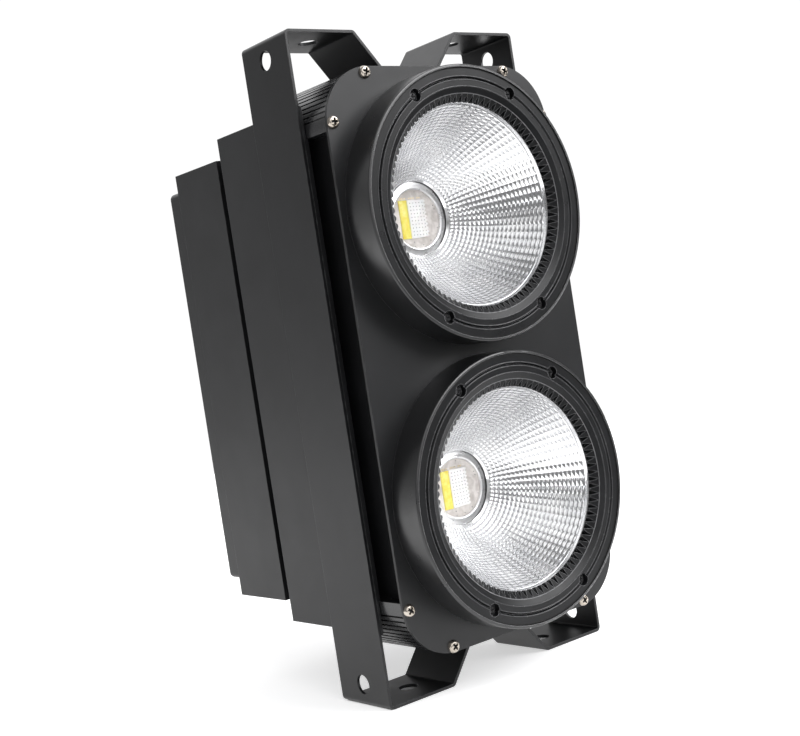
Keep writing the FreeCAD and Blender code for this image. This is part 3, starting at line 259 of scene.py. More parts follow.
def lathe(bm, profile, z, segments=144, closed=True):
    """Turns an outline of radius and depth round a lamp's axis."""
    rings = []
    for radius, depth in profile:
        ring = []
        for step in range(segments):
            angle = math.tau * step / segments
            ring.append(bm.verts.new(place(
                radius * math.cos(angle), depth, z + radius * math.sin(angle)
            )))
        rings.append(ring)
    pairs = list(zip(rings, rings[1:]))
    if closed:
        pairs.append((rings[-1], rings[0]))
    for near, far in pairs:
        for step in range(segments):
            following = (step + 1) % segments
            bm.faces.new((near[step], near[following], far[following], far[step]))


def arc_band(bm, profile, z, first, last, segments=60):
    """Turns a closed outline of radius and depth round a lamp's axis between two angles."""
    rings = []
    for step in range(segments + 1):
        angle = math.radians(first + (last - first) * step / segments)
        rings.append([
            bm.verts.new(place(radius * math.cos(angle), depth, z + radius * math.sin(angle)))
            for radius, depth in profile
        ])
    count = len(profile)
    for near, far in zip(rings, rings[1:]):
        for corner in range(count):
            following = (corner + 1) % count
            bm.faces.new((near[corner], far[corner], far[following], near[following]))
    bm.faces.new(rings[0])
    bm.faces.new(rings[-1][::-1])


def prism(bm, outline, front, back, z, bevel):
    """A flat plate from an outline of x and z, between two depths, its front edge eased."""
    rings = [
        [bm.verts.new(place(x, front, z + height)) for x, height in shrunk(outline, bevel)],
        [bm.verts.new(place(x, front + bevel, z + height)) for x, height in outline],
        [bm.verts.new(place(x, back, z + height)) for x, height in outline],
    ]
    bm.faces.new(rings[0][::-1])
    bm.faces.new(rings[-1])
    count = len(outline)
    for near, far in zip(rings, rings[1:]):
        for step in range(count):
            following = (step + 1) % count
            bm.faces.new((near[step], near[following], far[following], far[step]))


def shrunk(outline, distance):
    """An outline that runs anticlockwise, moved inwards by a distance."""
    moved = []
    count = len(outline)
    for step in range(count):
        here = Vector(outline[step])
        before = (here - Vector(outline[step - 1])).normalized()
        after = (Vector(outline[(step + 1) % count]) - here).normalized()
        normal_before = Vector((-before.y, before.x))
        normal_after = Vector((-after.y, after.x))
        mean = normal_before + normal_after
        size = max(mean.length_squared, 0.4)
        moved.append(tuple(here + mean * (2.0 * distance / size)))
    return moved


def rectangle(x0, x1, z0, z1):
    """A rectangle's outline."""
    return [(x0, z0), (x1, z0), (x1, z1), (x0, z1)]


def disc_outline(x, z, radius, sides=12):
    """A small disc's outline."""
    return [
        (
            x + radius * math.cos(math.tau * side / sides),
            z + radius * math.sin(math.tau * side / sides),
        )
        for side in range(sides)
    ]


def dressed(piece, material, slot, body, *nodes):
    """Gives a piece its material, hangs it on its body and hides the CAD nodes it stands for."""
    piece.data.materials.append(material)
    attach(piece, body)
    if nodes:
        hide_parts(*nodes)


# Materials


class Surface:
    """A material under construction: its node tree and its shader."""

    def __init__(self, name, roughness, metallic=0.0):
        self.material = bpy.data.materials.new(name)
        self.material.use_nodes = True
        self.tree = self.material.node_tree
        self.shader = self.tree.nodes["Principled BSDF"]
        self.shader.inputs["Roughness"].default_value = roughness
        self.shader.inputs["Metallic"].default_value = metallic
        self.coordinates = self.node("ShaderNodeTexCoord").outputs["Object"]
        self.normal = None

    def node(self, kind, **settings):
        """A new node of the material, with its settings."""
        made = self.tree.nodes.new(kind)
        for key, value in settings.items():
            setattr(made, key, value)
        return made

    def link(self, source, target):
        """Leads a result into an input."""
        self.tree.links.new(source, target)

    def value(self, operation, *operands):
        """The result of one calculation with numbers or other results."""
        made = self.node("ShaderNodeMath", operation=operation)
        for socket, operand in zip(made.inputs, operands):
            if isinstance(operand, (int, float)):
                socket.default_value = operand
            else:
                self.link(operand, socket)
        return made.outputs[0]

    def noise(self, size, detail, stretch=(1.0, 1.0, 1.0), distortion=0.0):
        """Noise whose lumps are about one size, in millimetres."""
        mapping = self.node("ShaderNodeMapping")
        mapping.inputs["Scale"].default_value = stretch
        self.link(self.coordinates, mapping.inputs["Vector"])
        made = self.node("ShaderNodeTexNoise")
        made.inputs["Scale"].default_value = 1.0 / (size * MM)
        made.inputs["Detail"].default_value = detail
        made.inputs["Distortion"].default_value = distortion
        self.link(mapping.outputs[0], made.inputs["Vector"])
        return made.outputs["Fac"]

    def ranged(self, source, low, high, out_low=0.0, out_high=1.0):
        """A result stretched from one range to another."""
        made = self.node("ShaderNodeMapRange")
        made.inputs["From Min"].default_value = low
        made.inputs["From Max"].default_value = high
        made.inputs["To Min"].default_value = out_low
        made.inputs["To Max"].default_value = out_high
        self.link(source, made.inputs["Value"])
        return made.outputs[0]

    def clouds(self, size, detail):
        """Soft clouds of about one size, from 0 to 1."""
        return self.ranged(self.noise(size, detail), 0.35, 0.65)

    def uneven(self, size, detail, low, high):
        """A roughness that wanders from one value to another."""
        return self.ranged(self.noise(size, detail), 0.3, 0.7, low, high)

    def mixed(self, factor, first, second):
        """A colour between two others."""
        made = self.node("ShaderNodeMix", data_type="RGBA")
        self.link(factor, made.inputs[0])
        for socket, colour in ((made.inputs[6], first), (made.inputs[7], second)):
            if isinstance(colour, tuple):
                socket.default_value = (*colour, 1.0)
            else:
                self.link(colour, socket)
        return made.outputs[2]

    def soft_edges(self, radius):
        """Catches the light along edges as a thin coat of paint does."""
        made = self.node("ShaderNodeBevel", samples=4)
        made.inputs["Radius"].default_value = radius * MM
        self.normal = made.outputs["Normal"]

    def edge_mask(self, radius):
        """One at edges and zero on flat faces."""
        made = self.node("ShaderNodeBevel", samples=4)
        made.inputs["Radius"].default_value = radius * MM
        flat = self.node("ShaderNodeNewGeometry").outputs["Normal"]
        product = self.node("ShaderNodeVectorMath", operation="DOT_PRODUCT")
        self.link(made.outputs["Normal"], product.inputs[0])
        self.link(flat, product.inputs[1])
        return self.ranged(product.outputs["Value"], 0.98, 0.80)

    def bump(self, height, strength, distance):
        """Adds a relief of some depth, in millimetres."""
        made = self.node("ShaderNodeBump")
        made.inputs["Strength"].default_value = strength
        made.inputs["Distance"].default_value = distance * MM
        self.link(height, made.inputs["Height"])
        if self.normal:
            self.link(self.normal, made.inputs["Normal"])
        self.normal = made.outputs["Normal"]

    def finish(self, colour, roughness=None):
        """The finished material."""
        self.link(colour, self.shader.inputs["Base Color"])
        if roughness:
            self.link(roughness, self.shader.inputs["Roughness"])
        if self.normal:
            self.link(self.normal, self.shader.inputs["Normal"])
        return self.material

    def lamp_radius(self):
        """The distance from the axis of the nearer lamp, in metres."""
        parts = self.node("ShaderNodeSeparateXYZ")
        self.link(self.coordinates, parts.inputs[0])
        height = self.value("SUBTRACT", parts.outputs["Z"], MIDDLE_HEIGHT * MM)
        height = self.value("SUBTRACT", self.value("ABSOLUTE", height), LAMPS["upper"] * MM)
        square = self.value("MULTIPLY", height, height)
        across = self.value("MULTIPLY", parts.outputs["X"], parts.outputs["X"])
        return self.value("SQRT", self.value("ADD", square, across))


def coated(name, tones, roughness, edge=0.5, wear_and_sheen=0.0, specular=0.42):
    """Powder coat or paint on sheet metal: fine orange peel, faint clouds, and lighter edges
    that are chafed paint and also a painted highlight.
    """
    surface = Surface(name, roughness)
    surface.shader.inputs["Specular IOR Level"].default_value = specular
    colour = surface.mixed(surface.clouds(size=38.0, detail=4.0), *tones)
    specks = surface.ranged(surface.noise(size=1.1, detail=2.0), 0.55, 0.75)
    speck_colour = tuple(min(1.0, channel * 1.6) for channel in tones[1])
    colour = surface.mixed(surface.value("MULTIPLY", specks, 0.35), colour, speck_colour)
    # Lighter edges: chafed coat, and also a painted highlight along every edge.
    if wear_and_sheen:
        worn_and_sheen = surface.value("MULTIPLY", surface.edge_mask(edge * 1.6), wear_and_sheen)
        rubbed_and_sheen = surface.ranged(surface.noise(size=6.0, detail=4.0), 0.45, 0.6)
        colour = surface.mixed(surface.value("MULTIPLY", worn_and_sheen, rubbed_and_sheen), colour, RUBBED_COAT_AND_EDGE_SHEEN)
    surface.soft_edges(edge)
    surface.bump(surface.noise(size=0.35, detail=1.5), strength=0.12, distance=0.05)
    streaks = surface.noise(size=22.0, detail=6.0, stretch=(1.0, 0.35, 1.0), distortion=0.4)
    scuffs = surface.value("MULTIPLY", surface.ranged(streaks, 0.58, 0.72), 0.03)
    smudges = surface.uneven(14.0, 5.0, roughness - 0.02, roughness + 0.02)
    return surface.finish(colour, surface.value("SUBTRACT", smudges, scuffs))


def turned_black(name, specular):
    """Black lacquer on turned aluminium, with fine rings round each lamp and lighter edges,
    chafed and also painted as a highlight.
    """
    surface = Surface(name, 0.32)
    surface.shader.inputs["Specular IOR Level"].default_value = specular
    colour = surface.mixed(surface.clouds(size=30.0, detail=4.0), *BLACK_COAT)
    # Lighter edges: chafed lacquer, and also a painted highlight along every edge.
    rubbed_and_sheen = surface.ranged(surface.noise(size=4.0, detail=4.0), 0.35, 0.6, 0.6, 1.0)
    worn_and_sheen = surface.value("MULTIPLY", surface.edge_mask(0.55), rubbed_and_sheen)
    colour = surface.mixed(worn_and_sheen, colour, RUBBED_LACQUER_AND_EDGE_SHEEN)
    surface.soft_edges(0.45)
    rings = surface.value("SINE", surface.value("MULTIPLY", surface.lamp_radius(), LATHE_RINGS))
    grain = surface.noise(size=0.3, detail=1.5)
    height = surface.value("ADD", surface.value("MULTIPLY", rings, 0.3), grain)
    surface.bump(height, strength=0.08, distance=0.05)
    return surface.finish(colour, surface.uneven(11.0, 5.0, low=0.27, high=0.37))


def metal(name, tones, roughness, stretch=(1.0, 1.0, 1.0)):
    """Bare or plated metal with a fine grain and a slightly uneven shine."""
    surface = Surface(name, roughness, 1.0)
    colour = surface.mixed(surface.clouds(size=7.0, detail=4.0), *tones)
    surface.soft_edges(0.15)
    surface.bump(surface.noise(0.5, 3.0, stretch), strength=0.06, distance=0.03)
    return surface.finish(colour, surface.uneven(5.0, 4.0, roughness * 0.8, roughness * 1.25))


def plastic(name, tones, roughness):
    """Moulded plastic with a fine spark-eroded texture."""
    surface = Surface(name, roughness)
    colour = surface.mixed(surface.clouds(size=9.0, detail=3.0), *tones)
    surface.soft_edges(0.25)
    surface.bump(surface.noise(size=0.5, detail=2.0), strength=0.12, distance=0.04)
    return surface.finish(colour, surface.uneven(4.0, 4.0, roughness - 0.05, roughness + 0.06))


def mirror_metal(name):
    """Bright anodised reflector sheet: nearly a mirror, faintly clouded."""
    surface = Surface(name, 0.11, 1.0)
    clouds = surface.clouds(size=16.0, detail=3.0)
    colour = surface.mixed(clouds, (0.74, 0.745, 0.755), (0.82, 0.82, 0.825))
    surface.bump(surface.noise(size=0.9, detail=2.0), strength=0.05, distance=0.03)
    return surface.finish(colour, surface.uneven(3.0, 3.0, low=0.08, high=0.14))


def phosphor(name, deep, pale):
    """Silicone over phosphor: a soft gloss, with the grain under it just showing."""
    surface = Surface(name, 0.32)
    surface.shader.inputs["Subsurface Weight"].default_value = 0.15
    surface.shader.inputs["Subsurface Scale"].default_value = 0.0008
    colour = surface.mixed(surface.clouds(size=2.4, detail=3.0), deep, pale)
    surface.bump(surface.noise(size=0.8, detail=2.0), strength=0.06, distance=0.05)
    return surface.finish(colour, surface.uneven(3.0, 3.0, low=0.26, high=0.4))


def board_material(name):
    """A lamp board's matt carrier, mottled beige and grey."""
    surface = Surface(name, 0.42)
    mottle = surface.noise(size=5.5, detail=5.0, distortion=0.6)
    blotches = surface.ranged(mottle, 0.38, 0.62)
    colour = surface.mixed(blotches, (0.55, 0.51, 0.48), (0.77, 0.73, 0.70))
    stains = surface.ranged(surface.noise(size=9.0, detail=4.0), 0.56, 0.70)
    colour = surface.mixed(surface.value("MULTIPLY", stains, 0.5), colour, (0.40, 0.37, 0.34))
    surface.bump(surface.noise(size=0.5, detail=3.0), strength=0.10, distance=0.04)
    return surface.finish(colour, surface.uneven(3.0, 4.0, low=0.34, high=0.5))


def smoked_glass(name):
    """A dark glossy pane with faint smears."""
    surface = Surface(name, 0.08)
    smear = surface.clouds(size=12.0, detail=4.0)
    colour = surface.mixed(smear, (0.010, 0.010, 0.012), (0.018, 0.017, 0.020))
    surface.bump(surface.noise(size=2.0, detail=2.0), strength=0.02, distance=0.02)
    return surface.finish(colour, surface.uneven(6.0, 4.0, low=0.05, high=0.14))


def circuit_green(name):
    """Green lacquer over tracks, with bright solder points."""
    surface = Surface(name, 0.35)
    clouds = surface.ranged(surface.noise(size=6.0, detail=3.0), 0.4, 0.6)
    colour = surface.mixed(clouds, (0.012, 0.075, 0.03), (0.02, 0.11, 0.045))
    points = surface.ranged(surface.noise(size=1.3, detail=0.0), 0.70, 0.73)
    colour = surface.mixed(points, colour, (0.55, 0.55, 0.5))
    surface.bump(surface.noise(size=1.0, detail=2.0), strength=0.15, distance=0.05)
    return surface.finish(colour, surface.uneven(3.0, 3.0, low=0.28, high=0.45))


def slot_materials():
    """One material for each material slot of the record."""
    tray = ((0.62, 0.62, 0.63), (0.74, 0.74, 0.75))
    nickel = ((0.44, 0.39, 0.33), (0.58, 0.53, 0.47))
    screw_black = ((0.012, 0.012, 0.013), (0.022, 0.022, 0.024))
    zinc = ((0.5, 0.5, 0.5), (0.66, 0.66, 0.64))
    extrusion = ((0.42, 0.42, 0.43), (0.56, 0.56, 0.57))
    cap = ((0.018, 0.018, 0.02), (0.03, 0.03, 0.033))
    latch = ((0.45, 0.45, 0.45), (0.62, 0.62, 0.61))
    blue = ((0.012, 0.055, 0.33), (0.02, 0.085, 0.42))
    grey = ((0.40, 0.40, 0.39), (0.52, 0.52, 0.51))
    return {
        "black_steel": coated("black_steel_coat", BLACK_COAT, 0.36, wear_and_sheen=0.25),
        "black_aluminium": coated("black_aluminium_coat", BLACK_ANODISED, 0.38, wear_and_sheen=0.25),
        "black_casting": turned_black("black_turned_lacquer", specular=0.80),
        "tray_aluminium": metal("tray_sheet", tray, 0.34),
        "nickel_screw": metal("nickel_plate", nickel, 0.22),
        "black_screw": coated("black_screw_coat", screw_black, 0.36, edge=0.12),
        "zinc_screw": metal("zinc_plate", zinc, 0.28),
        "bright_aluminium": mirror_metal("reflector_sheet"),
        "lamp_board": board_material("lamp_board_carrier"),
        "warm_phosphor": phosphor("warm_gel", (0.90, 0.76, 0.11), (0.96, 0.88, 0.24)),
        "white_phosphor": phosphor("white_gel", (0.94, 0.92, 0.91), (0.98, 0.965, 0.955)),
        "heatsink_aluminium": metal(
            "heatsink_extrusion", extrusion, 0.38, stretch=(1.0, 1.0, 0.05)
        ),
        "circuit_board": circuit_green("circuit_board_lacquer"),
        "fan_plastic": plastic("fan_moulding", BLACK_MOULDING, 0.42),
        "smoked_window": smoked_glass("smoked_pane"),
        "button_plastic": plastic("button_caps", cap, 0.48),
        "socket_black": plastic("socket_body", BLACK_MOULDING, 0.38),
        "latch_metal": metal("latch_sheet", latch, 0.3),
        "socket_blue": plastic("blue_socket", blue, 0.36),
        "socket_grey": plastic("grey_socket", grey, 0.4),
    }


def dress_frame(materials):
    """Gives each CAD node its slot's material; bezels, toothed rings and ribs have their own."""
    bezel = turned_black("black_ring_lacquer", specular=0.26)
    teeth = turned_black("black_tooth_lacquer", specular=0.12)
    ribs = coated(
        "black_anodised_ribs", BLACK_ANODISED, 0.26, edge=0.2, wear_and_sheen=0.3, specular=0.9
    )
    for subpart in frame["record"]["subparts"]:
        name = subpart["node"]
        material = materials[subpart["material_slot"]]
        if name.endswith("_bezel"):
            material = bezel
        if name.endswith("_serrated_ring"):
            material = teeth
        if name.startswith("ribbed_end"):
            material = ribs
        for slot in frame["nodes"][name].material_slots:
            slot.material = material


# Reflectors


def bowl_depth(radius):
    """The depth of the bowl's surface at one radius."""
    share = (radius ** 2 - BOWL_THROAT_RADIUS ** 2) / BOWL_SPAN
    return BOWL_THROAT_DEPTH - share * (BOWL_THROAT_DEPTH - BOWL_MOUTH_DEPTH)


def bowl_slope(radius):
    """How far the bowl's surface comes forward over a millimetre outwards."""
    return 2.0 * radius * (BOWL_THROAT_DEPTH - BOWL_MOUTH_DEPTH) / BOWL_SPAN


def row_radii():
    """The radii between the rows of cells, an equal length of the bowl's curve apart."""
    radii = [
        FACETS_OUTER_RADIUS + (FACETS_INNER_RADIUS - FACETS_OUTER_RADIUS) * step / CURVE_SAMPLES
        for step in range(CURVE_SAMPLES + 1)
    ]
    lengths = [0.0]
    for first, second in zip(radii, radii[1:]):
        deeper = bowl_depth(second) - bowl_depth(first)
        lengths.append(lengths[-1] + math.hypot(second - first, deeper))
    edges = []
    reached = 0
    for row in range(BOWL_ROWS * FACET_CELLS + 1):
        target = lengths[-1] * row / (BOWL_ROWS * FACET_CELLS)
        while reached < CURVE_SAMPLES - 1 and lengths[reached + 1] < target:
            reached += 1
        share = (target - lengths[reached]) / (lengths[reached + 1] - lengths[reached])
        edges.append(radii[reached] + share * (radii[reached + 1] - radii[reached]))
    return edges


def facet(bm, radii, first_angle, width, z):
    """One pillow of the bowl, crowned towards the lamp's axis."""
    grid = []
    for row, radius in enumerate(radii):
        across = 2.0 * row / FACET_CELLS - 1.0
        depth = bowl_depth(radius)
        slope = bowl_slope(radius)
        size = math.hypot(1.0, slope)
        line = []
        for column in range(FACET_CELLS + 1):
            along = 2.0 * column / FACET_CELLS - 1.0
            rise = FACET_RISE * (1.0 - across ** 2) * (1.0 - along ** 2)
            angle = first_angle + width * column / FACET_CELLS
            inner = radius - rise * slope / size
            line.append(bm.verts.new(place(
                inner * math.cos(angle), depth - rise / size, z + inner * math.sin(angle)
            )))
        grid.append(line)
    for near, far in zip(grid, grid[1:]):
        for column in range(FACET_CELLS):
            bm.faces.new((near[column], far[column], far[column + 1], near[column + 1]))


def bowl_shell():
    """The bowl's outline round the facets: the step at their edge, the rim and the back."""
    groove = bowl_depth(FACETS_OUTER_RADIUS)
    step_radius = FACETS_OUTER_RADIUS + STEP_EDGE
    rim = [
        (FACETS_OUTER_RADIUS, groove),
        (FACETS_OUTER_RADIUS + STEP_WIDTH, groove + STEP_DROP),
        (step_radius, bowl_depth(step_radius) - STEP_RISE),
        (BOWL_MOUTH_RADIUS, BOWL_MOUTH_DEPTH),
        (BOWL_RIM_RADIUS, BOWL_MOUTH_DEPTH),
        (BOWL_RIM_RADIUS, BOWL_MOUTH_DEPTH + BOWL_SHEET),
    ]
    back = []
    for step in range(BOWL_BACK_STEPS + 1):
        inwards = (BOWL_THROAT_RADIUS - BOWL_MOUTH_RADIUS) * step / BOWL_BACK_STEPS
        radius = BOWL_MOUTH_RADIUS + inwards
        depth = min(bowl_depth(radius) + BOWL_SHEET, BOWL_THROAT_DEPTH)
        back.append((radius + BOWL_SHEET, depth))
    throat = [
        (BOWL_THROAT_RADIUS, BOWL_THROAT_DEPTH),
        (BOWL_THROAT_RADIUS, BOWL_THROAT_DEPTH - THROAT_LIP),
        (FACETS_INNER_RADIUS, bowl_depth(FACETS_INNER_RADIUS)),
    ]
    return rim + back + throat


def faceted_bowl(name, z):
    """The reflector with its facets, its plain rim behind the serrated ring and its back."""
    bm = bmesh.new()
    radii = row_radii()
    width = math.tau / BOWL_COLUMNS
    for row in range(BOWL_ROWS):
        first = row * FACET_CELLS
        chosen = radii[first:first + FACET_CELLS + 1]
        for column in range(BOWL_COLUMNS):
            facet(bm, chosen, width * column, width, z)
    lathe(bm, bowl_shell(), z, closed=False)
    return piece_from(bm, name, 28.0)


# Collars, lamp boards and emitter fields


def rolled_collar(name, z):
    """The bright ring round the board: a low rolled bead with a flange under the bowl."""
    bm = bmesh.new()
    lathe(bm, COLLAR_OUTLINE, z, 96)
    return piece_from(bm, name, 40.0)


def lamp_board(name, z):
    """The square carrier behind the collar."""
    bm = bmesh.new()
    outline = rectangle(-BOARD_HALF, BOARD_HALF, -BOARD_HALF, BOARD_HALF)
    prism(bm, outline, BOARD_DEPTH, BOARD_DEPTH + BOARD_THICKNESS, z, BOARD_BEVEL)
    return piece_from(bm, name)


def board_marks(name, z):
    """Small dark grey spots on the board."""
    bm = bmesh.new()
    front = BOARD_DEPTH - SPOT_RISE
    for x, height, radius in DARK_SPOTS:
        outline = disc_outline(x, height, radius)
        prism(bm, outline, front, BOARD_DEPTH + MARK_OVERLAP, z, SPOT_BEVEL)
    return piece_from(bm, name)


def contact_pads(name, z):
    """A row of gold pads over the emitter fields."""
    bm = bmesh.new()
    front = BOARD_DEPTH - PAD_RISE
    for x in PAD_PLACES:
        outline = rectangle(x - PAD_HALF_WIDTH, x + PAD_HALF_WIDTH, PAD_BOTTOM, PAD_TOP)
        prism(bm, outline, front, BOARD_DEPTH + MARK_OVERLAP, z, PAD_BEVEL)
    return piece_from(bm, name)


def warm_field(name, z):
    """The yellow field, left of the white one."""
    bm = bmesh.new()
    outline = rectangle(WARM_LEFT, WARM_RIGHT, -EMITTER_HALF_HEIGHT, EMITTER_HALF_HEIGHT)
    front = BOARD_DEPTH - EMITTER_RISE
    prism(bm, outline, front, BOARD_DEPTH + MARK_OVERLAP, z, WARM_BEVEL)
    return piece_from(bm, name, 50.0)


def white_field(name, z):
    """The white field, toothed along its right edge where the bond wires end."""
    pitch = 2.0 * EMITTER_HALF_HEIGHT / WHITE_TEETH
    valley = WHITE_RIGHT - WHITE_TOOTH_DEPTH
    outline = [(WHITE_LEFT, -EMITTER_HALF_HEIGHT)]
    for tooth in range(WHITE_TEETH):
        low = -EMITTER_HALF_HEIGHT + tooth * pitch
        heights = [low + share * pitch for share in WHITE_TOOTH_SHARES]
        outline += zip((valley, WHITE_RIGHT, WHITE_RIGHT, valley), heights)
    outline.append((WHITE_LEFT, EMITTER_HALF_HEIGHT))
    bm = bmesh.new()
    front = BOARD_DEPTH - EMITTER_RISE
    prism(bm, outline, front, BOARD_DEPTH + MARK_OVERLAP, z, WHITE_BEVEL)
    return piece_from(bm, name, 50.0)


def chip_dots(name, z):
    """The chips under the white field's gel, as small grey dots."""
    bm = bmesh.new()
    front = BOARD_DEPTH - EMITTER_RISE - CHIP_RISE
    for row in range(CHIP_ROWS):
        for column in range(CHIP_COLUMNS):
            x = CHIP_LEFT + CHIP_STEP_ACROSS * column
            height = CHIP_BOTTOM + CHIP_STEP_UP * row
            outline = disc_outline(x, height, CHIP_RADIUS, CHIP_SIDES)
            prism(bm, outline, front, front + CHIP_HEIGHT, z, CHIP_BEVEL)
    return piece_from(bm, name)


# Bezel trim


def hole_free_arcs():
    """The stretches of the bezel's groove between its screw holes."""
    pairs = zip(BEZEL_HOLES, BEZEL_HOLES[1:])
    return [(one + HOLE_MARGIN, two - HOLE_MARGIN) for one, two in pairs]


def bead_outline(radius):
    """The half-round outline of a bead on the bezel's front."""
    return [
        (radius + BEAD_HALF * math.cos(turn), BEZEL_FRONT - BEAD_RISE * math.sin(turn))
        for turn in BEAD_TURNS
    ]


def shade_outline(inner, outer, depth):
    """The outline of a thin dark band that lies on a face at one depth."""
    front = depth - SHADE_HEIGHT
    return [(inner, depth), (inner, front), (outer, front), (outer, depth)]


def bezel_beads(name, z):
    """Fine raised beads on both sides of the bezel's groove and round its mouth."""
    bm = bmesh.new()
    for radius in (GROOVE_INNER, GROOVE_OUTER):
        for first, last in hole_free_arcs():
            arc_band(bm, bead_outline(radius), z, first, last)
    lathe(bm, bead_outline(MOUTH_BEAD), z)
    bmesh.ops.recalc_face_normals(bm, faces=bm.faces)
    return piece_from(bm, name, 60.0)


def bezel_shades(name, z):
    """Painted shade: a black band in the joint inside the barrel's lip and one on the groove's
    floor.
    """
    bm = bmesh.new()
    lathe(bm, shade_outline(JOINT_INNER, JOINT_OUTER, BEZEL_FRONT), z)
    inner = GROOVE_INNER + GROOVE_MARGIN
    outer = GROOVE_OUTER - GROOVE_MARGIN
    for first, last in hole_free_arcs():
        arc_band(bm, shade_outline(inner, outer, GROOVE_FLOOR), z, first, last)
    bmesh.ops.recalc_face_normals(bm, faces=bm.faces)
    return piece_from(bm, name, 30.0)


def trim_materials():
    """The finishes of the lamps' small pieces, which have no slot of their own."""
    return {
        "collar": metal("collar_plate", ((0.84, 0.84, 0.85), (0.93, 0.93, 0.93)), 0.3),
        # The beads are painted lighter than the bezel's black: a painted sheen along them.
        "bead": plastic("bead_painted_sheen", ((0.030, 0.030, 0.032), (0.050, 0.050, 0.053)), 0.24),
        "shade": plastic("joint_shadow", ((0.002, 0.002, 0.002), (0.004, 0.004, 0.004)), 0.8),
        "mark": plastic("dark_spot_mark", ((0.10, 0.10, 0.10), (0.2, 0.2, 0.2)), 0.4),
        "pad": metal("pad_gold", ((0.80, 0.66, 0.40), (0.90, 0.80, 0.56)), 0.3),
        "chip": plastic("chip_grey", ((0.12, 0.11, 0.11), (0.22, 0.20, 0.20)), 0.4),
    }


def lamps(materials):
    """Both lamps' pieces; one with a node's name after its slot stands for that CAD node."""
    trim = trim_materials()
    mirror = materials["bright_aluminium"]
    board = materials["lamp_board"]
    warm = materials["warm_phosphor"]
    white = materials["white_phosphor"]
    pieces = (
        (faceted_bowl, "_faceted_bowl", mirror, "bright_aluminium", "_reflector"),
        (rolled_collar, "_rolled_collar", trim["collar"], "bright_aluminium", "_lamp_collar"),
        (lamp_board, "_carrier", board, "lamp_board", "_lamp_board"),
        (warm_field, "_warm_field", warm, "warm_phosphor", "_warm_emitter"),
        (white_field, "_white_field", white, "white_phosphor", "_white_emitter"),
        (bezel_beads, "_bezel_beads", trim["bead"], "black_casting", None),
        (bezel_shades, "_bezel_shades", trim["shade"], "black_casting", None),
        (board_marks, "_board_marks", trim["mark"], "lamp_board", None),
        (contact_pads, "_contact_pads", trim["pad"], "lamp_board", None),
        (chip_dots, "_chip_dots", trim["chip"], "white_phosphor", None),
    )
    for side, z in LAMPS.items():
        for build, ending, material, slot, node in pieces:
            nodes = [side + node] if node else []
            dressed(build(side + ending, z), material, slot, "case", *nodes)


# Screws


def recess(x, z):
    """How far the cross is cut at one point of the head, from 0 to 1."""
    cut = 0.0
    wide = RECESS_HALF_WIDTH * RECESS_WIDE_SHARE
    for across, along in ((abs(x), abs(z)), (abs(z), abs(x))):
        side = (wide - across) / (RECESS_HALF_WIDTH * RECESS_SIDE_SHARE)
        end = (RECESS_HALF_LENGTH - along) / (RECESS_HALF_LENGTH * RECESS_END_SHARE)
        cut = max(cut, min(1.0, max(0.0, side)) * min(1.0, max(0.0, end)))
    return cut


def head_rings(bm, matrix):
    """The rings of points of a pan head, from its middle to its edge."""
    made = []
    for ring in range(HEAD_RINGS + 1):
        share = ring / HEAD_RINGS
        drop = HEAD_CROWN * share ** 2 + HEAD_SHOULDER * share ** HEAD_SHOULDER_POWER
        line = []
        for step in range(HEAD_SEGMENTS if ring else 1):
            angle = math.tau * step / HEAD_SEGMENTS
            x = HEAD_RADIUS * share * math.cos(angle)
            z = HEAD_RADIUS * share * math.sin(angle)
            top = HEAD_HEIGHT * (1.0 - drop) - recess(x, z) * RECESS_DEPTH
            line.append(bm.verts.new(matrix @ Vector((x * MM, -top * MM, z * MM))))
        made.append(line)
    return made


def pan_head(bm, matrix):
    """A domed pan head whose cross recess is painted as shade, its seat at 0 and its dome
    towards -Y.
    """
    made = head_rings(bm, matrix)
    centre = made[0][0]
    for step in range(HEAD_SEGMENTS):
        following = (step + 1) % HEAD_SEGMENTS
        bm.faces.new((centre, made[1][following], made[1][step])).material_index = 1
        for ring in range(1, HEAD_RINGS):
            near, far = made[ring], made[ring + 1]
            face = bm.faces.new((near[step], near[following], far[following], far[step]))
            angle = math.tau * (step + 0.5) / HEAD_SEGMENTS
            middle = HEAD_RADIUS * (ring + 0.5) / HEAD_RINGS
            cut = recess(middle * math.cos(angle), middle * math.sin(angle))
            face.material_index = 1 if cut > RECESS_DARK_FROM else 0


def plate_screws(materials):
    """The front plate's eight screws, each turned a little differently."""
    # Near-black material for the cross recesses: painted shade.
    shadow = plastic("recess_painted_shade", ((0.004, 0.004, 0.004), (0.010, 0.009, 0.008)), 0.6)
    bm = bmesh.new()
    turn = SCREW_FIRST_TURN
    for x, z in SCREW_PLACES:
        for side_x in (1, -1):
            for side_z in (1, -1):
                move = Matrix.Translation(place(side_x * x, 0.0, side_z * z))
                pan_head(bm, move @ Matrix.Rotation(math.radians(turn), 4, "Y"))
                turn += SCREW_TURN_STEP
    piece = piece_from(bm, "plate_pan_heads", 60.0)
    dressed(piece, materials["nickel_screw"], "nickel_screw", "case", "plate_screws")
    piece.data.materials.append(shadow)


# Stage, lights and camera


def under_flanges(surface):
    """One where a bracket's lower flange covers the paper, and zero elsewhere; there the paper's
    glow is cut, a painted shade.
    """
    low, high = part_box("left_bracket")
    middle_y = (low[1] + high[1]) / 2.0
    half_y = (high[1] - low[1]) / 2.0 - FLANGE_EDGE * MM
    parts = surface.node("ShaderNodeSeparateXYZ")
    surface.link(surface.coordinates, parts.inputs[0])
    distance = surface.value("ABSOLUTE", parts.outputs["X"])
    across = surface.value("COMPARE", distance, FLANGE_MIDDLE * MM, FLANGE_HALF * MM)
    along = surface.value("COMPARE", parts.outputs["Y"], middle_y, half_y)
    return surface.value("MULTIPLY", across, along)


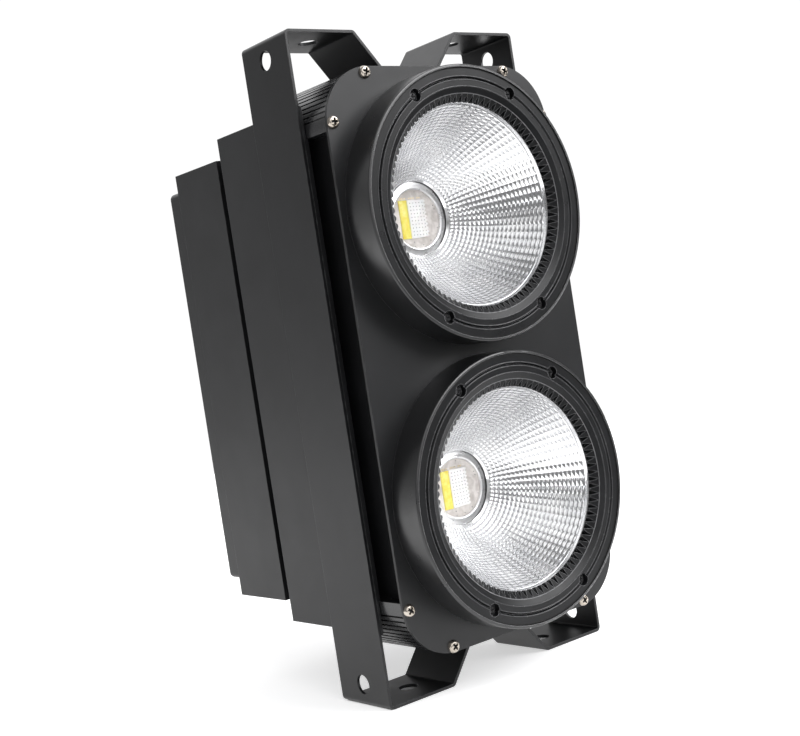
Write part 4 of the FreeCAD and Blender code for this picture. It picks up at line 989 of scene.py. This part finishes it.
def paper():
    """White paper that glows faintly, except under the flanges, where its dark is painted shade.
    """
    surface = Surface("studio_floor_paper", 0.8)
    cloud = surface.ranged(surface.noise(size=300.0, detail=2.0), 0.3, 0.7)
    surface.shader.inputs["Emission Color"].default_value = (1.0, 1.0, 1.0, 1.0)
    lit = surface.value("SUBTRACT", 1.0, under_flanges(surface))
    glow = surface.value("MULTIPLY", lit, PAPER_GLOW)
    surface.link(glow, surface.shader.inputs["Emission Strength"])
    return surface.finish(surface.mixed(cloud, *PAPER_TONES))


def floor():
    """A wide sheet of white paper, which ends a little in front of the object."""
    bm = bmesh.new()
    bmesh.ops.create_grid(bm, x_segments=8, y_segments=8, size=1.0)
    middle = (PAPER_FRONT + PAPER_BACK) / 2.0
    half_depth = (PAPER_BACK - PAPER_FRONT) / 2.0
    for vert in bm.verts:
        vert.co.x *= PAPER_HALF_WIDTH
        vert.co.y = middle + vert.co.y * half_depth
    piece = piece_from(bm, "studio_floor")
    piece.location = (0.0, 0.0, -PAPER_DROP)
    piece.data.materials.append(paper())


def softbox(tree, coordinates, light):
    """The light of one softbox, a round patch of the room with a soft edge."""
    direction, inner, outer, strength = light
    towards = tree.nodes.new("ShaderNodeVectorMath")
    towards.operation = "DOT_PRODUCT"
    tree.links.new(coordinates.outputs["Generated"], towards.inputs[0])
    towards.inputs[1].default_value = Vector(direction).normalized()
    patch = tree.nodes.new("ShaderNodeMapRange")
    patch.interpolation_type = "SMOOTHSTEP"
    patch.inputs["From Min"].default_value = math.cos(math.radians(outer))
    patch.inputs["From Max"].default_value = math.cos(math.radians(inner))
    patch.inputs["To Max"].default_value = strength
    tree.links.new(towards.outputs["Value"], patch.inputs["Value"])
    return patch.outputs[0]


def room_light(tree):
    """The room's even light and the softboxes, added up."""
    coordinates = tree.nodes.new("ShaderNodeTexCoord")
    total = None
    for light in ROOM_LIGHTS:
        adding = tree.nodes.new("ShaderNodeMath")
        adding.operation = "ADD"
        adding.inputs[0].default_value = ROOM_BASE
        if total:
            tree.links.new(total, adding.inputs[0])
        tree.links.new(softbox(tree, coordinates, light), adding.inputs[1])
        total = adding.outputs[0]
    return total


def world():
    """A room with softboxes, seen as plain white behind the object."""
    room = bpy.data.worlds.new("studio")
    bpy.context.scene.world = room
    room.use_nodes = True
    tree = room.node_tree
    tree.nodes.clear()
    lighting = tree.nodes.new("ShaderNodeBackground")
    tree.links.new(room_light(tree), lighting.inputs["Strength"])
    lighting.inputs["Color"].default_value = (*ROOM_TINT, 1.0)
    backdrop = tree.nodes.new("ShaderNodeBackground")
    backdrop.inputs["Color"].default_value = (1.0, 1.0, 1.0, 1.0)
    backdrop.inputs["Strength"].default_value = BACKDROP_STRENGTH
    path = tree.nodes.new("ShaderNodeLightPath")
    chosen = tree.nodes.new("ShaderNodeMixShader")
    tree.links.new(path.outputs["Is Camera Ray"], chosen.inputs["Fac"])
    tree.links.new(lighting.outputs[0], chosen.inputs[1])
    tree.links.new(backdrop.outputs[0], chosen.inputs[2])
    output = tree.nodes.new("ShaderNodeOutputWorld")
    tree.links.new(chosen.outputs[0], output.inputs["Surface"])


def camera():
    """The photograph's camera."""
    data = bpy.data.cameras.new("photograph_view")
    data.sensor_width = CAMERA_SENSOR
    data.lens = CAMERA_LENS
    data.shift_x, data.shift_y = CAMERA_SHIFT
    data.clip_start = CAMERA_NEAR
    view = bpy.data.objects.new("photograph_view", data)
    view.location = CAMERA_PLACE
    view.rotation_euler = [math.radians(angle) for angle in CAMERA_TURN]
    bpy.context.scene.collection.objects.link(view)
    bpy.context.scene.camera = view


def studio():
    """The floor, the light and the camera."""
    floor()
    world()
    camera()
    bpy.context.scene.view_settings.view_transform = "Standard"


def main():
    """Dresses the frame and sets it in the studio."""
    materials = slot_materials()
    dress_frame(materials)
    lamps(materials)
    plate_screws(materials)
    studio()


main()
